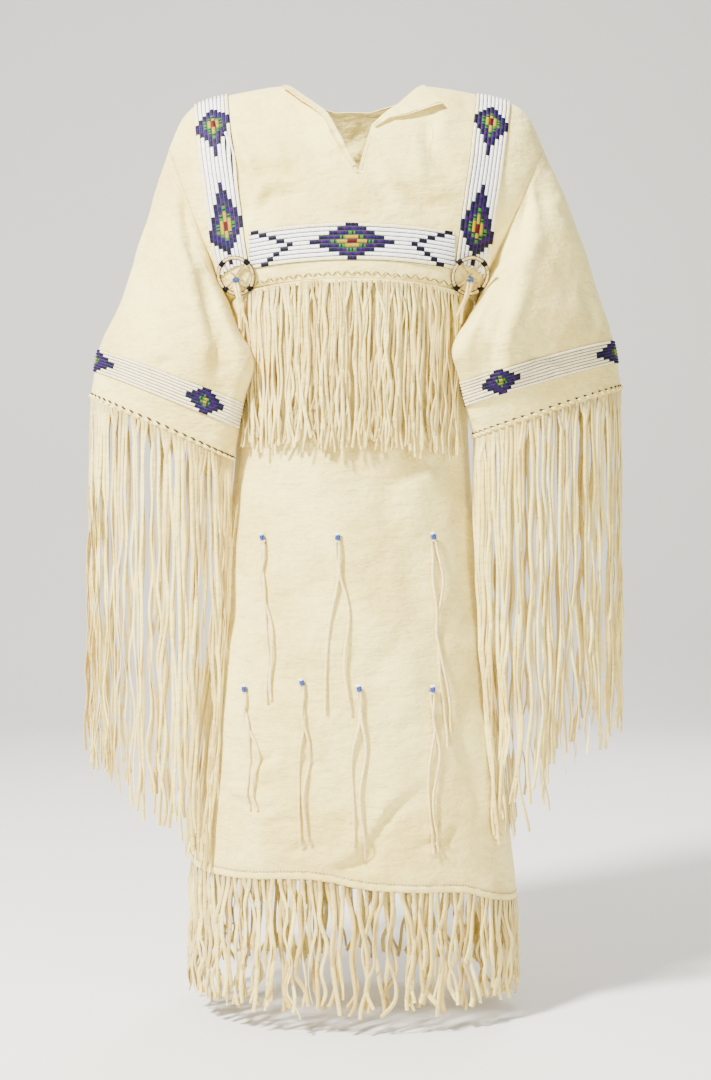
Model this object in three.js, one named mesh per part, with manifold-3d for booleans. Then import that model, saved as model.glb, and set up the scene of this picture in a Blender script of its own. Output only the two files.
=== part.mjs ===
// A quilled hide dress, hollow, as it hangs on a wearer. Millimetres, +Z up, front towards -Y.
// The origin lies midway between the shoulders, at the height of the neck corners.
import * as THREE from "three";
import { mergeVertices } from "three/addons/utils/BufferGeometryUtils.js";
import Module from "manifold-3d";

const manifold = await Module();
manifold.setup();

// ---------------------------------------------------------------- driving dimensions

const hideThickness = 2; // soft tanned hide
const seamGap = 0.3; // between neighbouring pieces
const underarmX = 160; // half width of the yoke at the waist seam
const shoulderEndX = { left: 237, right: 248 }; // where each sleeve's top seam ends
const shoulderEndZ = -81;
const armholeDepth = 62; // from the seam's own plane to its front and back
const seamSideZ = -282; // waist seam at the side
const seamRise = 14; // and how much higher it is at the middle
const chestDepth = 124; // from the middle plane to the front at the waist seam
const backShare = 0.88; // the back is flatter than the front
const bodyPower = 2.3; // roundness of the sections: 2 is an ellipse
const yokeTopPower = 1.7;
const archPower = 2.6; // how the yoke curves over the shoulder
const archRound = 0.588;
const backNeckRise = 15;
const neckShare = 0.39; // half the neck's width, as a share of the shoulder's length
const squareUp = 0.35; // above this share of its height the yoke keeps one roundness
const hemBandHeight = 9;
const fringeThickness = 1.6;
const thongThickness = 1.2;
const hemGap = 0.8; // between the skirt's edge and the band sewn under it

// Height of the shoulder's crest, by distance from the middle as a share of its end.
const shoulderLine = [
  { share: 0, z: 0 },
  { share: 0.38, z: 0 },
  { share: 0.64, z: -10 },
  { share: 0.84, z: -23 },
  { share: 0.93, z: -43 },
  { share: 1, z: shoulderEndZ },
];

// The front neck's cut edge, in the yoke's own coordinates: across, and up the column.
const frontNeck = [
  { across: -0.39, up: 1 },
  { across: -0.275, up: 0.908 },
  { across: -0.137, up: 0.795 },
  { across: -0.06, up: 0.66 },
  { across: -0.011, up: 0.585 },
  { across: 0.038, up: 0.5 },
  { across: 0.075, up: 0.62 },
  { across: 0.11, up: 0.735 },
  { across: 0.18, up: 0.8 },
  { across: 0.258, up: 0.86 },
  { across: 0.385, up: 1 },
];
const backNeck = [
  { across: -0.39, up: 1 },
  { across: -0.26, up: 0.93 },
  { across: -0.1, up: 0.885 },
  { across: 0.1, up: 0.885 },
  { across: 0.26, up: 0.93 },
  { across: 0.385, up: 1 },
];

// Half width and front half depth of the hanging skirt, by height.
const skirtSections = [
  { z: -262, width: 160, depth: 124 },
  { z: -330, width: 155, depth: 120 },
  { z: -470, width: 151, depth: 116 },
  { z: -614, width: 166, depth: 122 },
  { z: -796, width: 186, depth: 132 },
  { z: -991, width: 208, depth: 139 },
  { z: -1060, width: 214, depth: 144 },
];

// Lower edge of the hem band, by place across.
const hemLine = [
  { x: -214, z: -1000 },
  { x: -140, z: -1003 },
  { x: -50, z: -1000 },
  { x: 20, z: -1012 },
  { x: 80, z: -1017 },
  { x: 137, z: -1021 },
  { x: 168, z: -1032 },
  { x: 210, z: -1047 },
];

// Each sleeve is a tube of oval rings. A row gives a ring's outer end, its inner end at the
// underarm seam, and the half depth between its front and back.
const sleeveRings = {
  left: [
    { along: 0, outX: -237, outY: 0, outZ: -81, inX: -160, inY: 0, inZ: -282, depth: 62 },
    { along: 0.25, outX: -268, outY: 2, outZ: -180, inX: -142, inY: -64, inZ: -322, depth: 60 },
    { along: 0.5, outX: -300, outY: 5, outZ: -275, inX: -121, inY: -99, inZ: -368, depth: 57 },
    { along: 0.75, outX: -329, outY: 8, outZ: -338, inX: -134, inY: -84, inZ: -416, depth: 53 },
    { along: 1, outX: -341, outY: 10, outZ: -400, inX: -149, inY: -60, inZ: -487, depth: 50 },
  ],
  right: [
    { along: 0, outX: 248, outY: 0, outZ: -81, inX: 160, inY: 0, inZ: -282, depth: 62 },
    { along: 0.25, outX: 284, outY: 2, outZ: -163, inX: 143, inY: -64, inZ: -312, depth: 60 },
    { along: 0.5, outX: 317, outY: 5, outZ: -257, inX: 124, inY: -99, inZ: -352, depth: 57 },
    { along: 0.75, outX: 340, outY: 8, outZ: -326, inX: 134, inY: -86, inZ: -390, depth: 53 },
    { along: 1, outX: 351, outY: 10, outZ: -390, inX: 153, inY: -60, inZ: -458, depth: 50 },
  ],
};
const sleeveClear = 10; // between a sleeve and the skirt beneath it
const sleeveFlare = 70; // how fast that room grows below the armhole

// Long soft folds in the sleeves: a trough or ridge that drifts round the tube on its way down.
const sleeveFolds = [
  { from: 0.1, to: 1, startAngle: 112, endAngle: 150, width: 11, depth: -9 },
  { from: 0.15, to: 0.95, startAngle: 92, endAngle: 118, width: 14, depth: 5 },
  { from: 0.3, to: 1, startAngle: 250, endAngle: 225, width: 13, depth: -8 },
];

// Quillwork bands: lanes of quills laid side by side, each lane a low rib.
const quillLift = 0.4; // the band's underside, clear of the hide
const quillSink = -1.2; // where the underside starts before the hide's form is cut from it
const quillBody = 1.3;
const formerDepth = 6;
const quillRib = 0.9;
const chestBand = { halfLength: 126, halfHeight: 23, middleZ: -223.5, endDrop: 7, lanes: 9 };
const shoulderStrip = {
  bottomHalf: 20.5,
  topHalf: 22,
  lanes: 9,
  bottomX: 144,
  topX: 182,
  bottomUp: 0.16,
  backUp: 0.74,
};
const cuffBand = { from: 0.76, to: 0.873, startAngle: -175, endAngle: 173, lanes: 8 };

// Fringes: strand counts, lengths and how wide a strand's cell is in its pitch.
const fringe = {
  chest: { strands: 28, length: 204, backing: 8 },
  sleeve: { strands: 30, length: 500, backing: 7, startAngle: -172, endAngle: 174 },
  hemFront: { strands: 32 },
  hemBack: { strands: 25 },
};
const outerStrand = { left: 475, right: 435 }; // at a sleeve's outer end
const outerFrom = 180; // strands grow shorter beyond this distance from the middle
const outerOver = 120;
const strandShare = 0.62;
const fringeFloor = -1158; // where the hem's strands end
const chestFringeLift = 0.6;
const chestFringeReach = 0.82; // as a share of the seam's half width

const wheel = {
  radius: 22.7,
  tube: 2.3,
  wrapInner: 2.8,
  wrapOuter: 3.5,
  wrapLength: 7,
  faceFront: 0.6, // how far it swings from lying flat to facing the front
};
const wheels = {
  left: { x: -141, z: -257, lift: 9.6 }, // lift keeps the hoop just clear of the strip
  right: { x: 144, z: -256, lift: 10.2 },
};
const spokeThong = { width: 1.6, thick: 1.2 };
const turquoiseBead = { radius: 3.2, drop: 5, out: 2.2 };
const wheelTail = { root: -8.5, end: -62, out: 2.5, rise: 14, spread: 3.4, lean: { left: 8, right: 16 }, width: 8 };

// Turned-out edges of the neck slit: a place on the edge, how far it reaches, and which way.
const leftEdge = [
  { across: -0.375, up: 0.985, reach: 11, awayX: -0.45, awayZ: -0.89 },
  { across: -0.275, up: 0.9, reach: 10, awayX: -0.5, awayZ: -0.87 },
  { across: -0.15, up: 0.79, reach: 9, awayX: -0.6, awayZ: -0.8 },
  { across: -0.072, up: 0.665, reach: 9, awayX: -0.9, awayZ: -0.44 },
  { across: -0.03, up: 0.585, reach: 8, awayX: -0.9, awayZ: -0.44 },
];
const rightFlap = [
  { across: 0.118, up: 0.725, reach: 4, awayX: 0.75, awayZ: -0.66 },
  { across: 0.185, up: 0.79, reach: 14, awayX: 0.7, awayZ: -0.71 },
  { across: 0.262, up: 0.85, reach: 26, awayX: 0.6, awayZ: -0.8 },
  { across: 0.372, up: 0.985, reach: 35, awayX: 0.42, awayZ: -0.91 },
];
const flapLift = 3; // how far the big flap's tip stands off the yoke

// Beads on the skirt, and where the two thongs of each end.
const skirtThongs = [
  { x: -109, z: -585, ends: [[-100, -786], [-95, -783]] },
  { x: -17, z: -585, ends: [[-37, -797], [-6, -799]] },
  { x: 100, z: -584, ends: [[116, -842], [122, -841]] },
  { x: -131, z: -772, ends: [[-125, -917], [-115, -918]] },
  { x: -60, z: -762, ends: [[-66, -959], [-57, -954]] },
  { x: 9, z: -769, ends: [[-1, -960], [13, -975]] },
  { x: 98, z: -771, ends: [[93, -970], [99, -969]] },
];
const beadRadius = 3.5;
const skirtThongPair = { width: 7.6, knot: 3, lift: 1.8, half: 1.9, swing: 2.5 };

// ---------------------------------------------------------------- small helpers

const { lerp, clamp, degToRad } = THREE.MathUtils;
const vector = (x, y, z) => new THREE.Vector3(x, y, z);
const sides = ["left", "right"];
const signOf = { left: -1, right: 1 };

// A table's column read at a place along its key, on a smooth curve through its rows.
function read(table, key, place, column) {
  const last = table.length - 1;
  const at = clamp(place, table[0][key], table[last][key]);
  let k = 0;
  while (k < last - 1 && at > table[k + 1][key]) k += 1;
  const slope = (i) => {
    const before = table[Math.max(i - 1, 0)];
    const after = table[Math.min(i + 1, last)];
    return (after[column] - before[column]) / (after[key] - before[key]);
  };
  const span = table[k + 1][key] - table[k][key];
  const t = (at - table[k][key]) / span;
  const start = table[k][column];
  const end = table[k + 1][column];
  const bow = (t ** 3 - 2 * t ** 2 + t) * slope(k) + (t ** 3 - t ** 2) * slope(k + 1);
  return start + (end - start) * (3 * t ** 2 - 2 * t ** 3) + bow * span;
}

// A table's column read on straight lines between its rows.
function readStraight(table, key, place, column) {
  const last = table.length - 1;
  const at = clamp(place, table[0][key], table[last][key]);
  let k = 0;
  while (k < last - 1 && at > table[k + 1][key]) k += 1;
  const t = (at - table[k][key]) / (table[k + 1][key] - table[k][key]);
  return lerp(table[k][column], table[k + 1][column], t);
}

const signedPower = (value, power) => Math.sign(value) * Math.abs(value) ** power;
const range = (count) => Array.from({ length: count }, (_, i) => i);

// The same run of uneven values every time.
function unevenness(seed) {
  let state = seed;
  return () => {
    state = (state * 16807) % 2147483647;
    return (state / 2147483647) * 2 - 1;
  };
}

// Points of one solid, and the faces between them.
class Solid {
  constructor() {
    this.points = [];
    this.faces = [];
  }
  add(point) {
    return this.points.push(point.clone()) - 1;
  }
  quad(a, b, c, d) {
    this.faces.push([a, b, c], [a, c, d]);
  }
  // Triangles between two runs of points of unlike counts.
  zip(runA, runB) {
    let i = 0;
    let j = 0;
    const lastA = runA.length - 1;
    const lastB = runB.length - 1;
    while (i < lastA || j < lastB) {
      const forwardA = i < lastA && (j === lastB || (i + 0.5) / lastA <= (j + 0.5) / lastB);
      if (forwardA) {
        this.faces.push([runA[i], runA[i + 1], runB[j]]);
        i += 1;
      } else {
        this.faces.push([runA[i], runB[j + 1], runB[j]]);
        j += 1;
      }
    }
  }
  // Six times the signed volume: below nought when the faces point inwards.
  turn() {
    return this.faces.reduce((sum, [a, b, c]) => {
      const cross = this.points[b].clone().cross(this.points[c]);
      return sum + this.points[a].dot(cross);
    }, 0);
  }
  geometry() {
    const inside = this.turn() < 0;
    const order = this.faces.flatMap(([a, b, c]) => (inside ? [a, c, b] : [a, b, c]));
    const geometry = new THREE.BufferGeometry().setFromPoints(this.points);
    return geometry.setIndex(order);
  }
}

// A closed sheet between an outer and an inner grid. Their rows match, their columns may not.
function sheetBetween(outer, inner) {
  const solid = new Solid();
  const out = outer.map((row) => row.map((p) => solid.add(p)));
  const into = inner.map((row) => row.map((p) => solid.add(p)));
  const skin = (grid, turned) => {
    for (let j = 0; j + 1 < grid.length; j += 1) {
      for (let i = 0; i + 1 < grid[j].length; i += 1) {
        const [a, b, c, d] = [grid[j][i], grid[j][i + 1], grid[j + 1][i + 1], grid[j + 1][i]];
        if (turned) solid.quad(a, d, c, b);
        else solid.quad(a, b, c, d);
      }
    }
  };
  skin(out, false);
  skin(into, true);
  for (let j = 0; j + 1 < out.length; j += 1) {
    const [a, b] = [out[j], out[j + 1]];
    const [c, d] = [into[j], into[j + 1]];
    solid.quad(a[0], b[0], d[0], c[0]);
    solid.quad(a.at(-1), c.at(-1), d.at(-1), b.at(-1));
  }
  solid.zip(into[0], out[0]);
  solid.zip(out.at(-1), into.at(-1));
  return solid.geometry();
}

// A closed tube wall between an outer and an inner grid whose columns go all the way round.
function tubeBetween(outer, inner) {
  const solid = new Solid();
  const out = outer.map((row) => row.map((p) => solid.add(p)));
  const into = inner.map((row) => row.map((p) => solid.add(p)));
  const count = out[0].length;
  for (let i = 0; i < count; i += 1) {
    const next = (i + 1) % count;
    for (let j = 0; j + 1 < out.length; j += 1) {
      solid.quad(out[j][i], out[j][next], out[j + 1][next], out[j + 1][i]);
      solid.quad(into[j][i], into[j + 1][i], into[j + 1][next], into[j][next]);
    }
    solid.quad(out[0][i], into[0][i], into[0][next], out[0][next]);
    solid.quad(out.at(-1)[i], out.at(-1)[next], into.at(-1)[next], into.at(-1)[i]);
  }
  return solid.geometry();
}

// A fringe: a narrow backing whose odd cells go on downwards as strands of four sides.
// Every station has a top and a bottom point and a direction into the cloth.
function comb(stations, thickness, strandLevels) {
  const solid = new Solid();
  const place = (point, inward) => [
    solid.add(point),
    solid.add(point.clone().addScaledVector(inward, thickness)),
  ];
  const top = stations.map((s) => place(s.top, s.inward));
  const bottom = stations.map((s) => place(s.bottom, s.inward));
  for (let i = 0; i + 1 < stations.length; i += 1) {
    solid.quad(top[i][0], top[i + 1][0], bottom[i + 1][0], bottom[i][0]);
    solid.quad(top[i][1], bottom[i][1], bottom[i + 1][1], top[i + 1][1]);
    solid.quad(top[i][0], top[i][1], top[i + 1][1], top[i + 1][0]);
    if (i % 2 === 0) {
      solid.quad(bottom[i][0], bottom[i + 1][0], bottom[i + 1][1], bottom[i][1]);
      continue;
    }
    let ring = [bottom[i][0], bottom[i + 1][0], bottom[i + 1][1], bottom[i][1]];
    for (const level of strandLevels((i - 1) / 2)) {
      const half = level.across.clone().multiplyScalar(0.5);
      const [leftOut, leftIn] = place(level.middle.clone().sub(half), level.inward);
      const [rightOut, rightIn] = place(level.middle.clone().add(half), level.inward);
      const next = [leftOut, rightOut, rightIn, leftIn];
      range(4).forEach((k) => {
        const after = (k + 1) % 4;
        solid.quad(ring[k], ring[after], next[after], next[k]);
      });
      ring = next;
    }
    solid.quad(...ring);
  }
  solid.quad(top[0][0], bottom[0][0], bottom[0][1], top[0][1]);
  const [lastTop, lastBottom] = [top.at(-1), bottom.at(-1)];
  solid.quad(lastTop[0], lastTop[1], lastBottom[1], lastBottom[0]);
  return solid.geometry();
}

// Stations for a comb: the first and last cells are plain, and every other one is a strand.
function combPlaces(strands, from, to) {
  const pitch = (to - from) / strands;
  const places = [from];
  for (const k of range(strands)) {
    const middle = from + (k + 0.5) * pitch;
    places.push(middle - (pitch * strandShare) / 2, middle + (pitch * strandShare) / 2);
  }
  return [...places, to];
}

// Inward directions of a grid of points, from the slopes to its neighbours.
// Rows run so that across x up points outwards.
function inwards(grid, wraps = false) {
  const rows = grid.length;
  return grid.map((row, j) =>
    row.map((_, i) => {
      const count = row.length;
      const left = wraps ? row[(i + count - 1) % count] : row[Math.max(i - 1, 0)];
      const right = wraps ? row[(i + 1) % count] : row[Math.min(i + 1, count - 1)];
      const low = grid[Math.max(j - 1, 0)][i];
      const high = grid[Math.min(j + 1, rows - 1)][i];
      return high.clone().sub(low).cross(right.clone().sub(left)).normalize();
    }),
  );
}
// A closed geometry as a solid that can be joined and cut, and back again.
function solidOf(geometry) {
  const bare = new THREE.BufferGeometry();
  bare.setAttribute("position", geometry.getAttribute("position"));
  bare.setIndex(geometry.index);
  const merged = mergeVertices(bare, 1e-4);
  const mesh = new manifold.Mesh({
    numProp: 3,
    vertProperties: new Float32Array(merged.attributes.position.array),
    triVerts: new Uint32Array(merged.index.array),
  });
  return new manifold.Manifold(mesh);
}
function geometryOf(solid) {
  const mesh = solid.getMesh();
  const geometry = new THREE.BufferGeometry();
  geometry.setAttribute("position", new THREE.BufferAttribute(mesh.vertProperties, 3));
  return geometry.setIndex(new THREE.BufferAttribute(mesh.triVerts, 1));
}
// The band with the forms under it cut away, so that its underside follows their facets.
function cutUnder(band, formers) {
  let solid = solidOf(band);
  for (const former of formers) solid = solid.subtract(solidOf(former));
  const parts = solid.decompose().sort((a, b) => b.volume() - a.volume());
  return geometryOf(parts[0]);
}
const moved = (grid, directions, distance) =>
  grid.map((row, j) => row.map((p, i) => p.clone().addScaledVector(directions[j][i], distance)));

// ---------------------------------------------------------------- skirt

const seamZ = (share) => seamSideZ + seamRise * (1 - share ** 2);
const skirtWidth = (z) => read(skirtSections.toReversed(), "z", z, "width");
const skirtDepth = (z) => read(skirtSections.toReversed(), "z", z, "depth");
const hemZ = (x) => read(hemLine, "x", x, "z");

// A point of the skirt's outside. facing is -1 on the front and 1 on the back.
function skirtPoint(angle, z, facing) {
  const x = skirtWidth(z) * signedPower(Math.sin(angle), 2 / bodyPower);
  const deep = skirtDepth(z) * (facing < 0 ? 1 : backShare);
  const y = facing * (deep * Math.abs(Math.cos(angle)) ** (2 / bodyPower) + seamGap / 2);
  return vector(x, y, z);
}

// The skirt's level inward direction at a point.
function skirtInward(point) {
  const wide = skirtWidth(point.z);
  const deep = skirtDepth(point.z) * (point.y < 0 ? 1 : backShare);
  const gx = signedPower(point.x / wide, bodyPower - 1) / wide;
  const gy = signedPower(point.y / deep, bodyPower - 1) / deep;
  return vector(-gx, -gy, 0).normalize();
}

// The same point, moved out level if it is nearer to the skirt than margin.
function clearOfSkirt(point, margin) {
  const wide = skirtWidth(point.z) + margin;
  const deep = skirtDepth(point.z) * (point.y < 0 ? 1 : backShare) + margin;
  const share =
    (Math.abs(point.x) / wide) ** bodyPower + (Math.abs(point.y) / deep) ** bodyPower;
  if (share >= 1) return point.clone();
  const grow = share ** (-1 / bodyPower);
  return vector(point.x * grow, point.y * grow, point.z);
}

// A point on the skirt's front at a place across, moved out by lift.
function skirtFront(x, z, lift) {
  const wide = skirtWidth(z);
  const y = -skirtDepth(z) * (1 - Math.abs(x / wide) ** bodyPower) ** (1 / bodyPower);
  const point = vector(x, y - seamGap / 2, z);
  return point.addScaledVector(skirtInward(point), -lift);
}

const skirtColumns = 18;
const skirtRows = 8;
const columnAngle = (i) => (i / skirtColumns - 0.5) * Math.PI;

function skirtPanel(facing) {
  const grid = range(skirtRows + 1).map((j) =>
    range(skirtColumns + 1).map((i) => {
      const share = signedPower(Math.sin(columnAngle(i)), 2 / bodyPower);
      const low = hemZ(share * skirtWidth(-1020)) + hemBandHeight;
      const z = lerp(low, seamZ(share) - seamGap, j / skirtRows);
      return skirtPoint(columnAngle(i), z, facing);
    }),
  );
  const inner = grid.map((row) =>
    row.map((p) => p.clone().addScaledVector(skirtInward(p), hideThickness)),
  );
  return sheetBetween(grid, inner);
}

// ---------------------------------------------------------------- yoke

const shoulderX = (across) => (across < 0 ? shoulderEndX.left : shoulderEndX.right);

// A point of the yoke's outside. across goes from -1 to 1 and up from the seam, 0, to the crest, 1.
function yokePoint(across, up, facing) {
  const reach = Math.abs(across);
  const x = across * lerp(underarmX, shoulderX(across), up);
  const crest = read(shoulderLine, "share", reach, "z");
  const rise = facing > 0 ? backNeckRise * Math.max(0, 1 - (reach / neckShare) ** 2) : 0;
  const z = lerp(seamZ(across), crest + rise, up);
  const power = lerp(bodyPower, yokeTopPower, Math.min(1, up / squareUp));
  const middle = chestDepth * (facing < 0 ? 1 : backShare) * (1 - up ** archPower) ** archRound;
  const edge = armholeDepth * 2 * Math.sqrt(up * (1 - up));
  const round = Math.max(0, 1 - reach ** power) ** (1 / power);
  const y = facing * (edge + (middle - edge) * round + seamGap / 2);
  return vector(x, y, z);
}

// The yoke's coordinates of a place seen from the front.
function yokePlace(x, z) {
  let up = 0.5;
  let across = 0;
  range(12).forEach(() => {
    across = x / lerp(underarmX, shoulderX(x), up);
    const crest = read(shoulderLine, "share", Math.abs(across), "z");
    up = (z - seamZ(across)) / (crest - seamZ(across));
  });
  return { across, up };
}

// The yoke's outward direction at its own coordinates.
function yokeOutward(across, up, facing) {
  const step = 0.004;
  const high = Math.min(up + step, 1);
  const low = Math.max(up - step, 0);
  const sideways = yokePoint(Math.min(across + step, 1), up, facing).sub(
    yokePoint(Math.max(across - step, -1), up, facing),
  );
  const upward = yokePoint(across, high, facing).sub(yokePoint(across, low, facing));
  return sideways.cross(upward).multiplyScalar(-facing).normalize();
}

const armholeMiddle = {
  left: vector(-(underarmX + shoulderEndX.left) / 2, 0, (seamSideZ + shoulderEndZ) / 2),
  right: vector((underarmX + shoulderEndX.right) / 2, 0, (seamSideZ + shoulderEndZ) / 2),
};

// Columns of a yoke: close together at the neck's corners and at the armholes.
function yokeColumns(neck) {
  const outer = [1, 0.975, 0.93, 0.86, 0.77, 0.67, 0.57, 0.47];
  const [first, last] = [neck[0].across, neck.at(-1).across];
  return [
    ...outer.map((reach) => -reach),
    first,
    ...neck.slice(1, -1).map((row) => row.across),
    last,
    ...outer.toReversed(),
  ];
}

const yokeRows = 9;
const yokeRowUp = (j) => 1 - (1 - j / yokeRows) ** 1.5;

// How far up a column goes before the neck's edge ends it.
function columnTop(neck, across) {
  const outside = across <= neck[0].across || across >= neck.at(-1).across;
  return outside ? 1 : readStraight(neck, "across", across, "up");
}

function yokeGrids(facing) {
  const neck = facing < 0 ? frontNeck : backNeck;
  const columns = yokeColumns(neck);
  const grid = range(yokeRows + 1).map((j) =>
    columns.map((across) => yokePoint(across, yokeRowUp(j) * columnTop(neck, across), facing)),
  );
  const directions = grid.map((row, j) =>
    row.map((point, i) => {
      const across = columns[i];
      const up = yokeRowUp(j) * columnTop(neck, across);
      if (up === 0) return skirtInward(vector(point.x * 0.999, point.y, seamSideZ));
      const inward = yokeOutward(across, Math.min(up, 0.996), facing).negate();
      if (up > 0.999) inward.y = 0;
      if (Math.abs(across) === 1) {
        const middle = armholeMiddle[across < 0 ? "left" : "right"];
        return middle.clone().sub(vector(point.x, up > 0.999 ? 0 : point.y, point.z)).normalize();
      }
      return inward.normalize();
    }),
  );
  return { grid, directions };
}

function yokePanel(facing) {
  const { grid, directions } = yokeGrids(facing);
  return sheetBetween(grid, moved(grid, directions, hideThickness));
}

// The space a yoke fills for what is sewn on it: its own facets moved out, and a thick inside.
function yokeFormer(facing) {
  const { grid, directions } = yokeGrids(facing);
  const outer = moved(grid, directions, -quillLift);
  const inner = moved(grid, directions, formerDepth);
  for (const point of [...outer.at(-1), ...inner.at(-1)]) {
    if (Math.abs(point.y) < 1) point.setY(-facing * quillLift);
  }
  return sheetBetween(outer, inner);
}

// ---------------------------------------------------------------- sleeves

// A point of a sleeve's outside. angle is 0 at the outer end, 90 at the front and 180 at the
// underarm seam, in degrees.
function sleevePoint(side, along, angle) {
  const rings = sleeveRings[side];
  const at = (column) => read(rings, "along", along, column);
  const out = vector(at("outX"), at("outY"), at("outZ"));
  const into = vector(at("inX"), at("inY"), at("inZ"));
  const middle = out.clone().add(into).multiplyScalar(0.5);
  const half = out.clone().sub(into).multiplyScalar(0.5);
  const turn = degToRad(angle);
  let deep = at("depth");
  for (const fold of sleeveFolds) {
    const share = clamp((along - fold.from) / (fold.to - fold.from), 0, 1);
    const centre = lerp(fold.startAngle, fold.endAngle, share);
    const off = (((angle - centre + 540) % 360) - 180) / fold.width;
    const fade = Math.sin(Math.PI * Math.min(1, share * 1.2)) ** 0.5;
    deep += fold.depth * Math.exp(-(off ** 2)) * fade;
  }
  const point = middle.addScaledVector(half, Math.cos(turn));
  point.y -= deep * Math.sin(turn);
  const margin = Math.min(sleeveClear, seamGap + along * sleeveFlare);
  return along > 0 ? clearOfSkirt(point, margin) : point;
}

const sleeveColumns = 22;
const sleeveRows = 8;

function sleeveGrids(side) {
  const armhole = armholeMiddle[side];
  const line = vector(signOf[side] * (shoulderEndX[side] - underarmX), 0, shoulderEndZ - seamSideZ);
  const apart = vector(line.z * signOf[side], 0, -Math.abs(line.x)).normalize();
  const turnWay = -signOf[side];
  const grid = range(sleeveRows + 1).map((j) =>
    range(sleeveColumns).map((i) => {
      const angle = (turnWay * 360 * i) / sleeveColumns;
      const point = sleevePoint(side, 1 - j / sleeveRows, (angle + 360) % 360);
      return j === sleeveRows ? point.addScaledVector(apart, seamGap) : point;
    }),
  );
  const directions = inwards(grid, true);
  directions[sleeveRows] = grid[sleeveRows].map((p) => armhole.clone().sub(p).normalize());
  return { grid, directions };
}

// A sleeve's front or back half, from the outer fold to the underarm seam.
function sleevePanel(side, facing) {
  const { grid, directions } = sleeveGrids(side);
  const half = sleeveColumns / 2;
  const first = facing * signOf[side] > 0 ? 0 : half;
  const columns = range(half + 1).map((k) => (first + k) % sleeveColumns);
  const picked = (rows) =>
    rows.map((row) =>
      columns.map((i, k) => {
        const point = row[i].clone();
        if (k === 0 || k === half) point.y += (facing * seamGap) / 2;
        return point;
      }),
    );
  return sheetBetween(picked(grid), picked(moved(grid, directions, hideThickness)));
}

function sleeveFormer(side) {
  const { grid, directions } = sleeveGrids(side);
  return tubeBetween(moved(grid, directions, -quillLift), moved(grid, directions, formerDepth));
}

// ---------------------------------------------------------------- quillwork

// A quilled band from a surface: place(along, across) gives a point and outward(along, across)
// its direction. The lanes are ribs on the outside, and the underside is plain.
function quillBand(stations, lanes, underCells, place, outward) {
  const raised = (cells, lift) =>
    stations.map((along) =>
      range(cells + 1).map((i) => {
        const across = (i / cells) * 2 - 1;
        const direction = outward(along, across);
        return place(along, across).addScaledVector(direction, lift(i));
      }),
    );
  const rib = (i) => quillLift + quillBody + (i % 2 ? quillRib : 0);
  return sheetBetween(
    raised(lanes * 2, rib),
    raised(underCells, () => quillSink),
  );
}

function chestBandSolid() {
  const spot = (along, across) => {
    const x = along * chestBand.halfLength;
    const middle = chestBand.middleZ - chestBand.endDrop * along ** 2;
    return yokePlace(x, middle + across * chestBand.halfHeight);
  };
  const stations = range(15).map((k) => k / 7 - 1);
  const band = quillBand(
    stations,
    chestBand.lanes,
    3,
    (along, across) => {
      const { across: u, up } = spot(along, across);
      return yokePoint(u, up, -1);
    },
    (along, across) => {
      const { across: u, up } = spot(along, across);
      return yokeOutward(u, up, -1);
    },
  );
  return cutUnder(band, [yokeFormer(-1)]);
}

// The strip climbs the front, goes over the crest and ends a little way down the back.
function shoulderStripSolid(side) {
  const rises = [];
  for (let j = 0; j <= yokeRows; j += 1) {
    if (yokeRowUp(j) > shoulderStrip.bottomUp + 0.02) rises.push([yokeRowUp(j), -1]);
  }
  const down = rises.map(([up]) => up).filter((up) => up < 1 && up > shoulderStrip.backUp);
  const stations = [
    [shoulderStrip.bottomUp, -1],
    ...rises,
    ...down.toReversed().map((up) => [up, 1]),
    [shoulderStrip.backUp, 1],
  ];
  const spot = ([up], across) => {
    const middle = lerp(shoulderStrip.bottomX, shoulderStrip.topX, up);
    const half = lerp(shoulderStrip.bottomHalf, shoulderStrip.topHalf, up);
    const x = middle + across * signOf[side] * half;
    return (signOf[side] * x) / lerp(underarmX, shoulderX(signOf[side]), up);
  };
  const band = quillBand(
    stations,
    shoulderStrip.lanes,
    9,
    (station, across) => {
      const point = yokePoint(spot(station, across), station[0], station[1]);
      if (station[0] === 1) point.y = 0;
      return point;
    },
    (station, across) => {
      const [up, facing] = station;
      const direction = yokeOutward(spot(station, across), Math.min(up, 0.996), facing);
      if (up === 1) direction.y = 0;
      return direction.normalize();
    },
  );
  return cutUnder(band, [yokeFormer(-1), yokeFormer(1)]);
}

function sleeveOutward(side, along, angle) {
  const step = 0.01;
  const turn = 2;
  const down = sleevePoint(side, Math.min(along + step, 1), angle).sub(
    sleevePoint(side, along - step, angle),
  );
  const round = sleevePoint(side, along, angle + turn).sub(sleevePoint(side, along, angle - turn));
  return down.cross(round).multiplyScalar(-signOf[side]).normalize();
}

function cuffBandSolid(side) {
  const { from, to, startAngle, endAngle, lanes } = cuffBand;
  const pitch = 360 / sleeveColumns;
  const between = range(sleeveColumns).map((k) => (k - sleeveColumns / 2 + 1) * pitch);
  const inside = between.filter((angle) => angle > startAngle + 4 && angle < endAngle - 4);
  const stations = [startAngle, ...inside, endAngle];
  const band = quillBand(
    stations,
    lanes,
    2,
    (angle, across) => sleevePoint(side, lerp(from, to, (across + 1) / 2), angle),
    (angle, across) => sleeveOutward(side, lerp(from, to, (across + 1) / 2), angle),
  );
  return cutUnder(band, [sleeveFormer(side)]);
}

// ---------------------------------------------------------------- fringes

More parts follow.
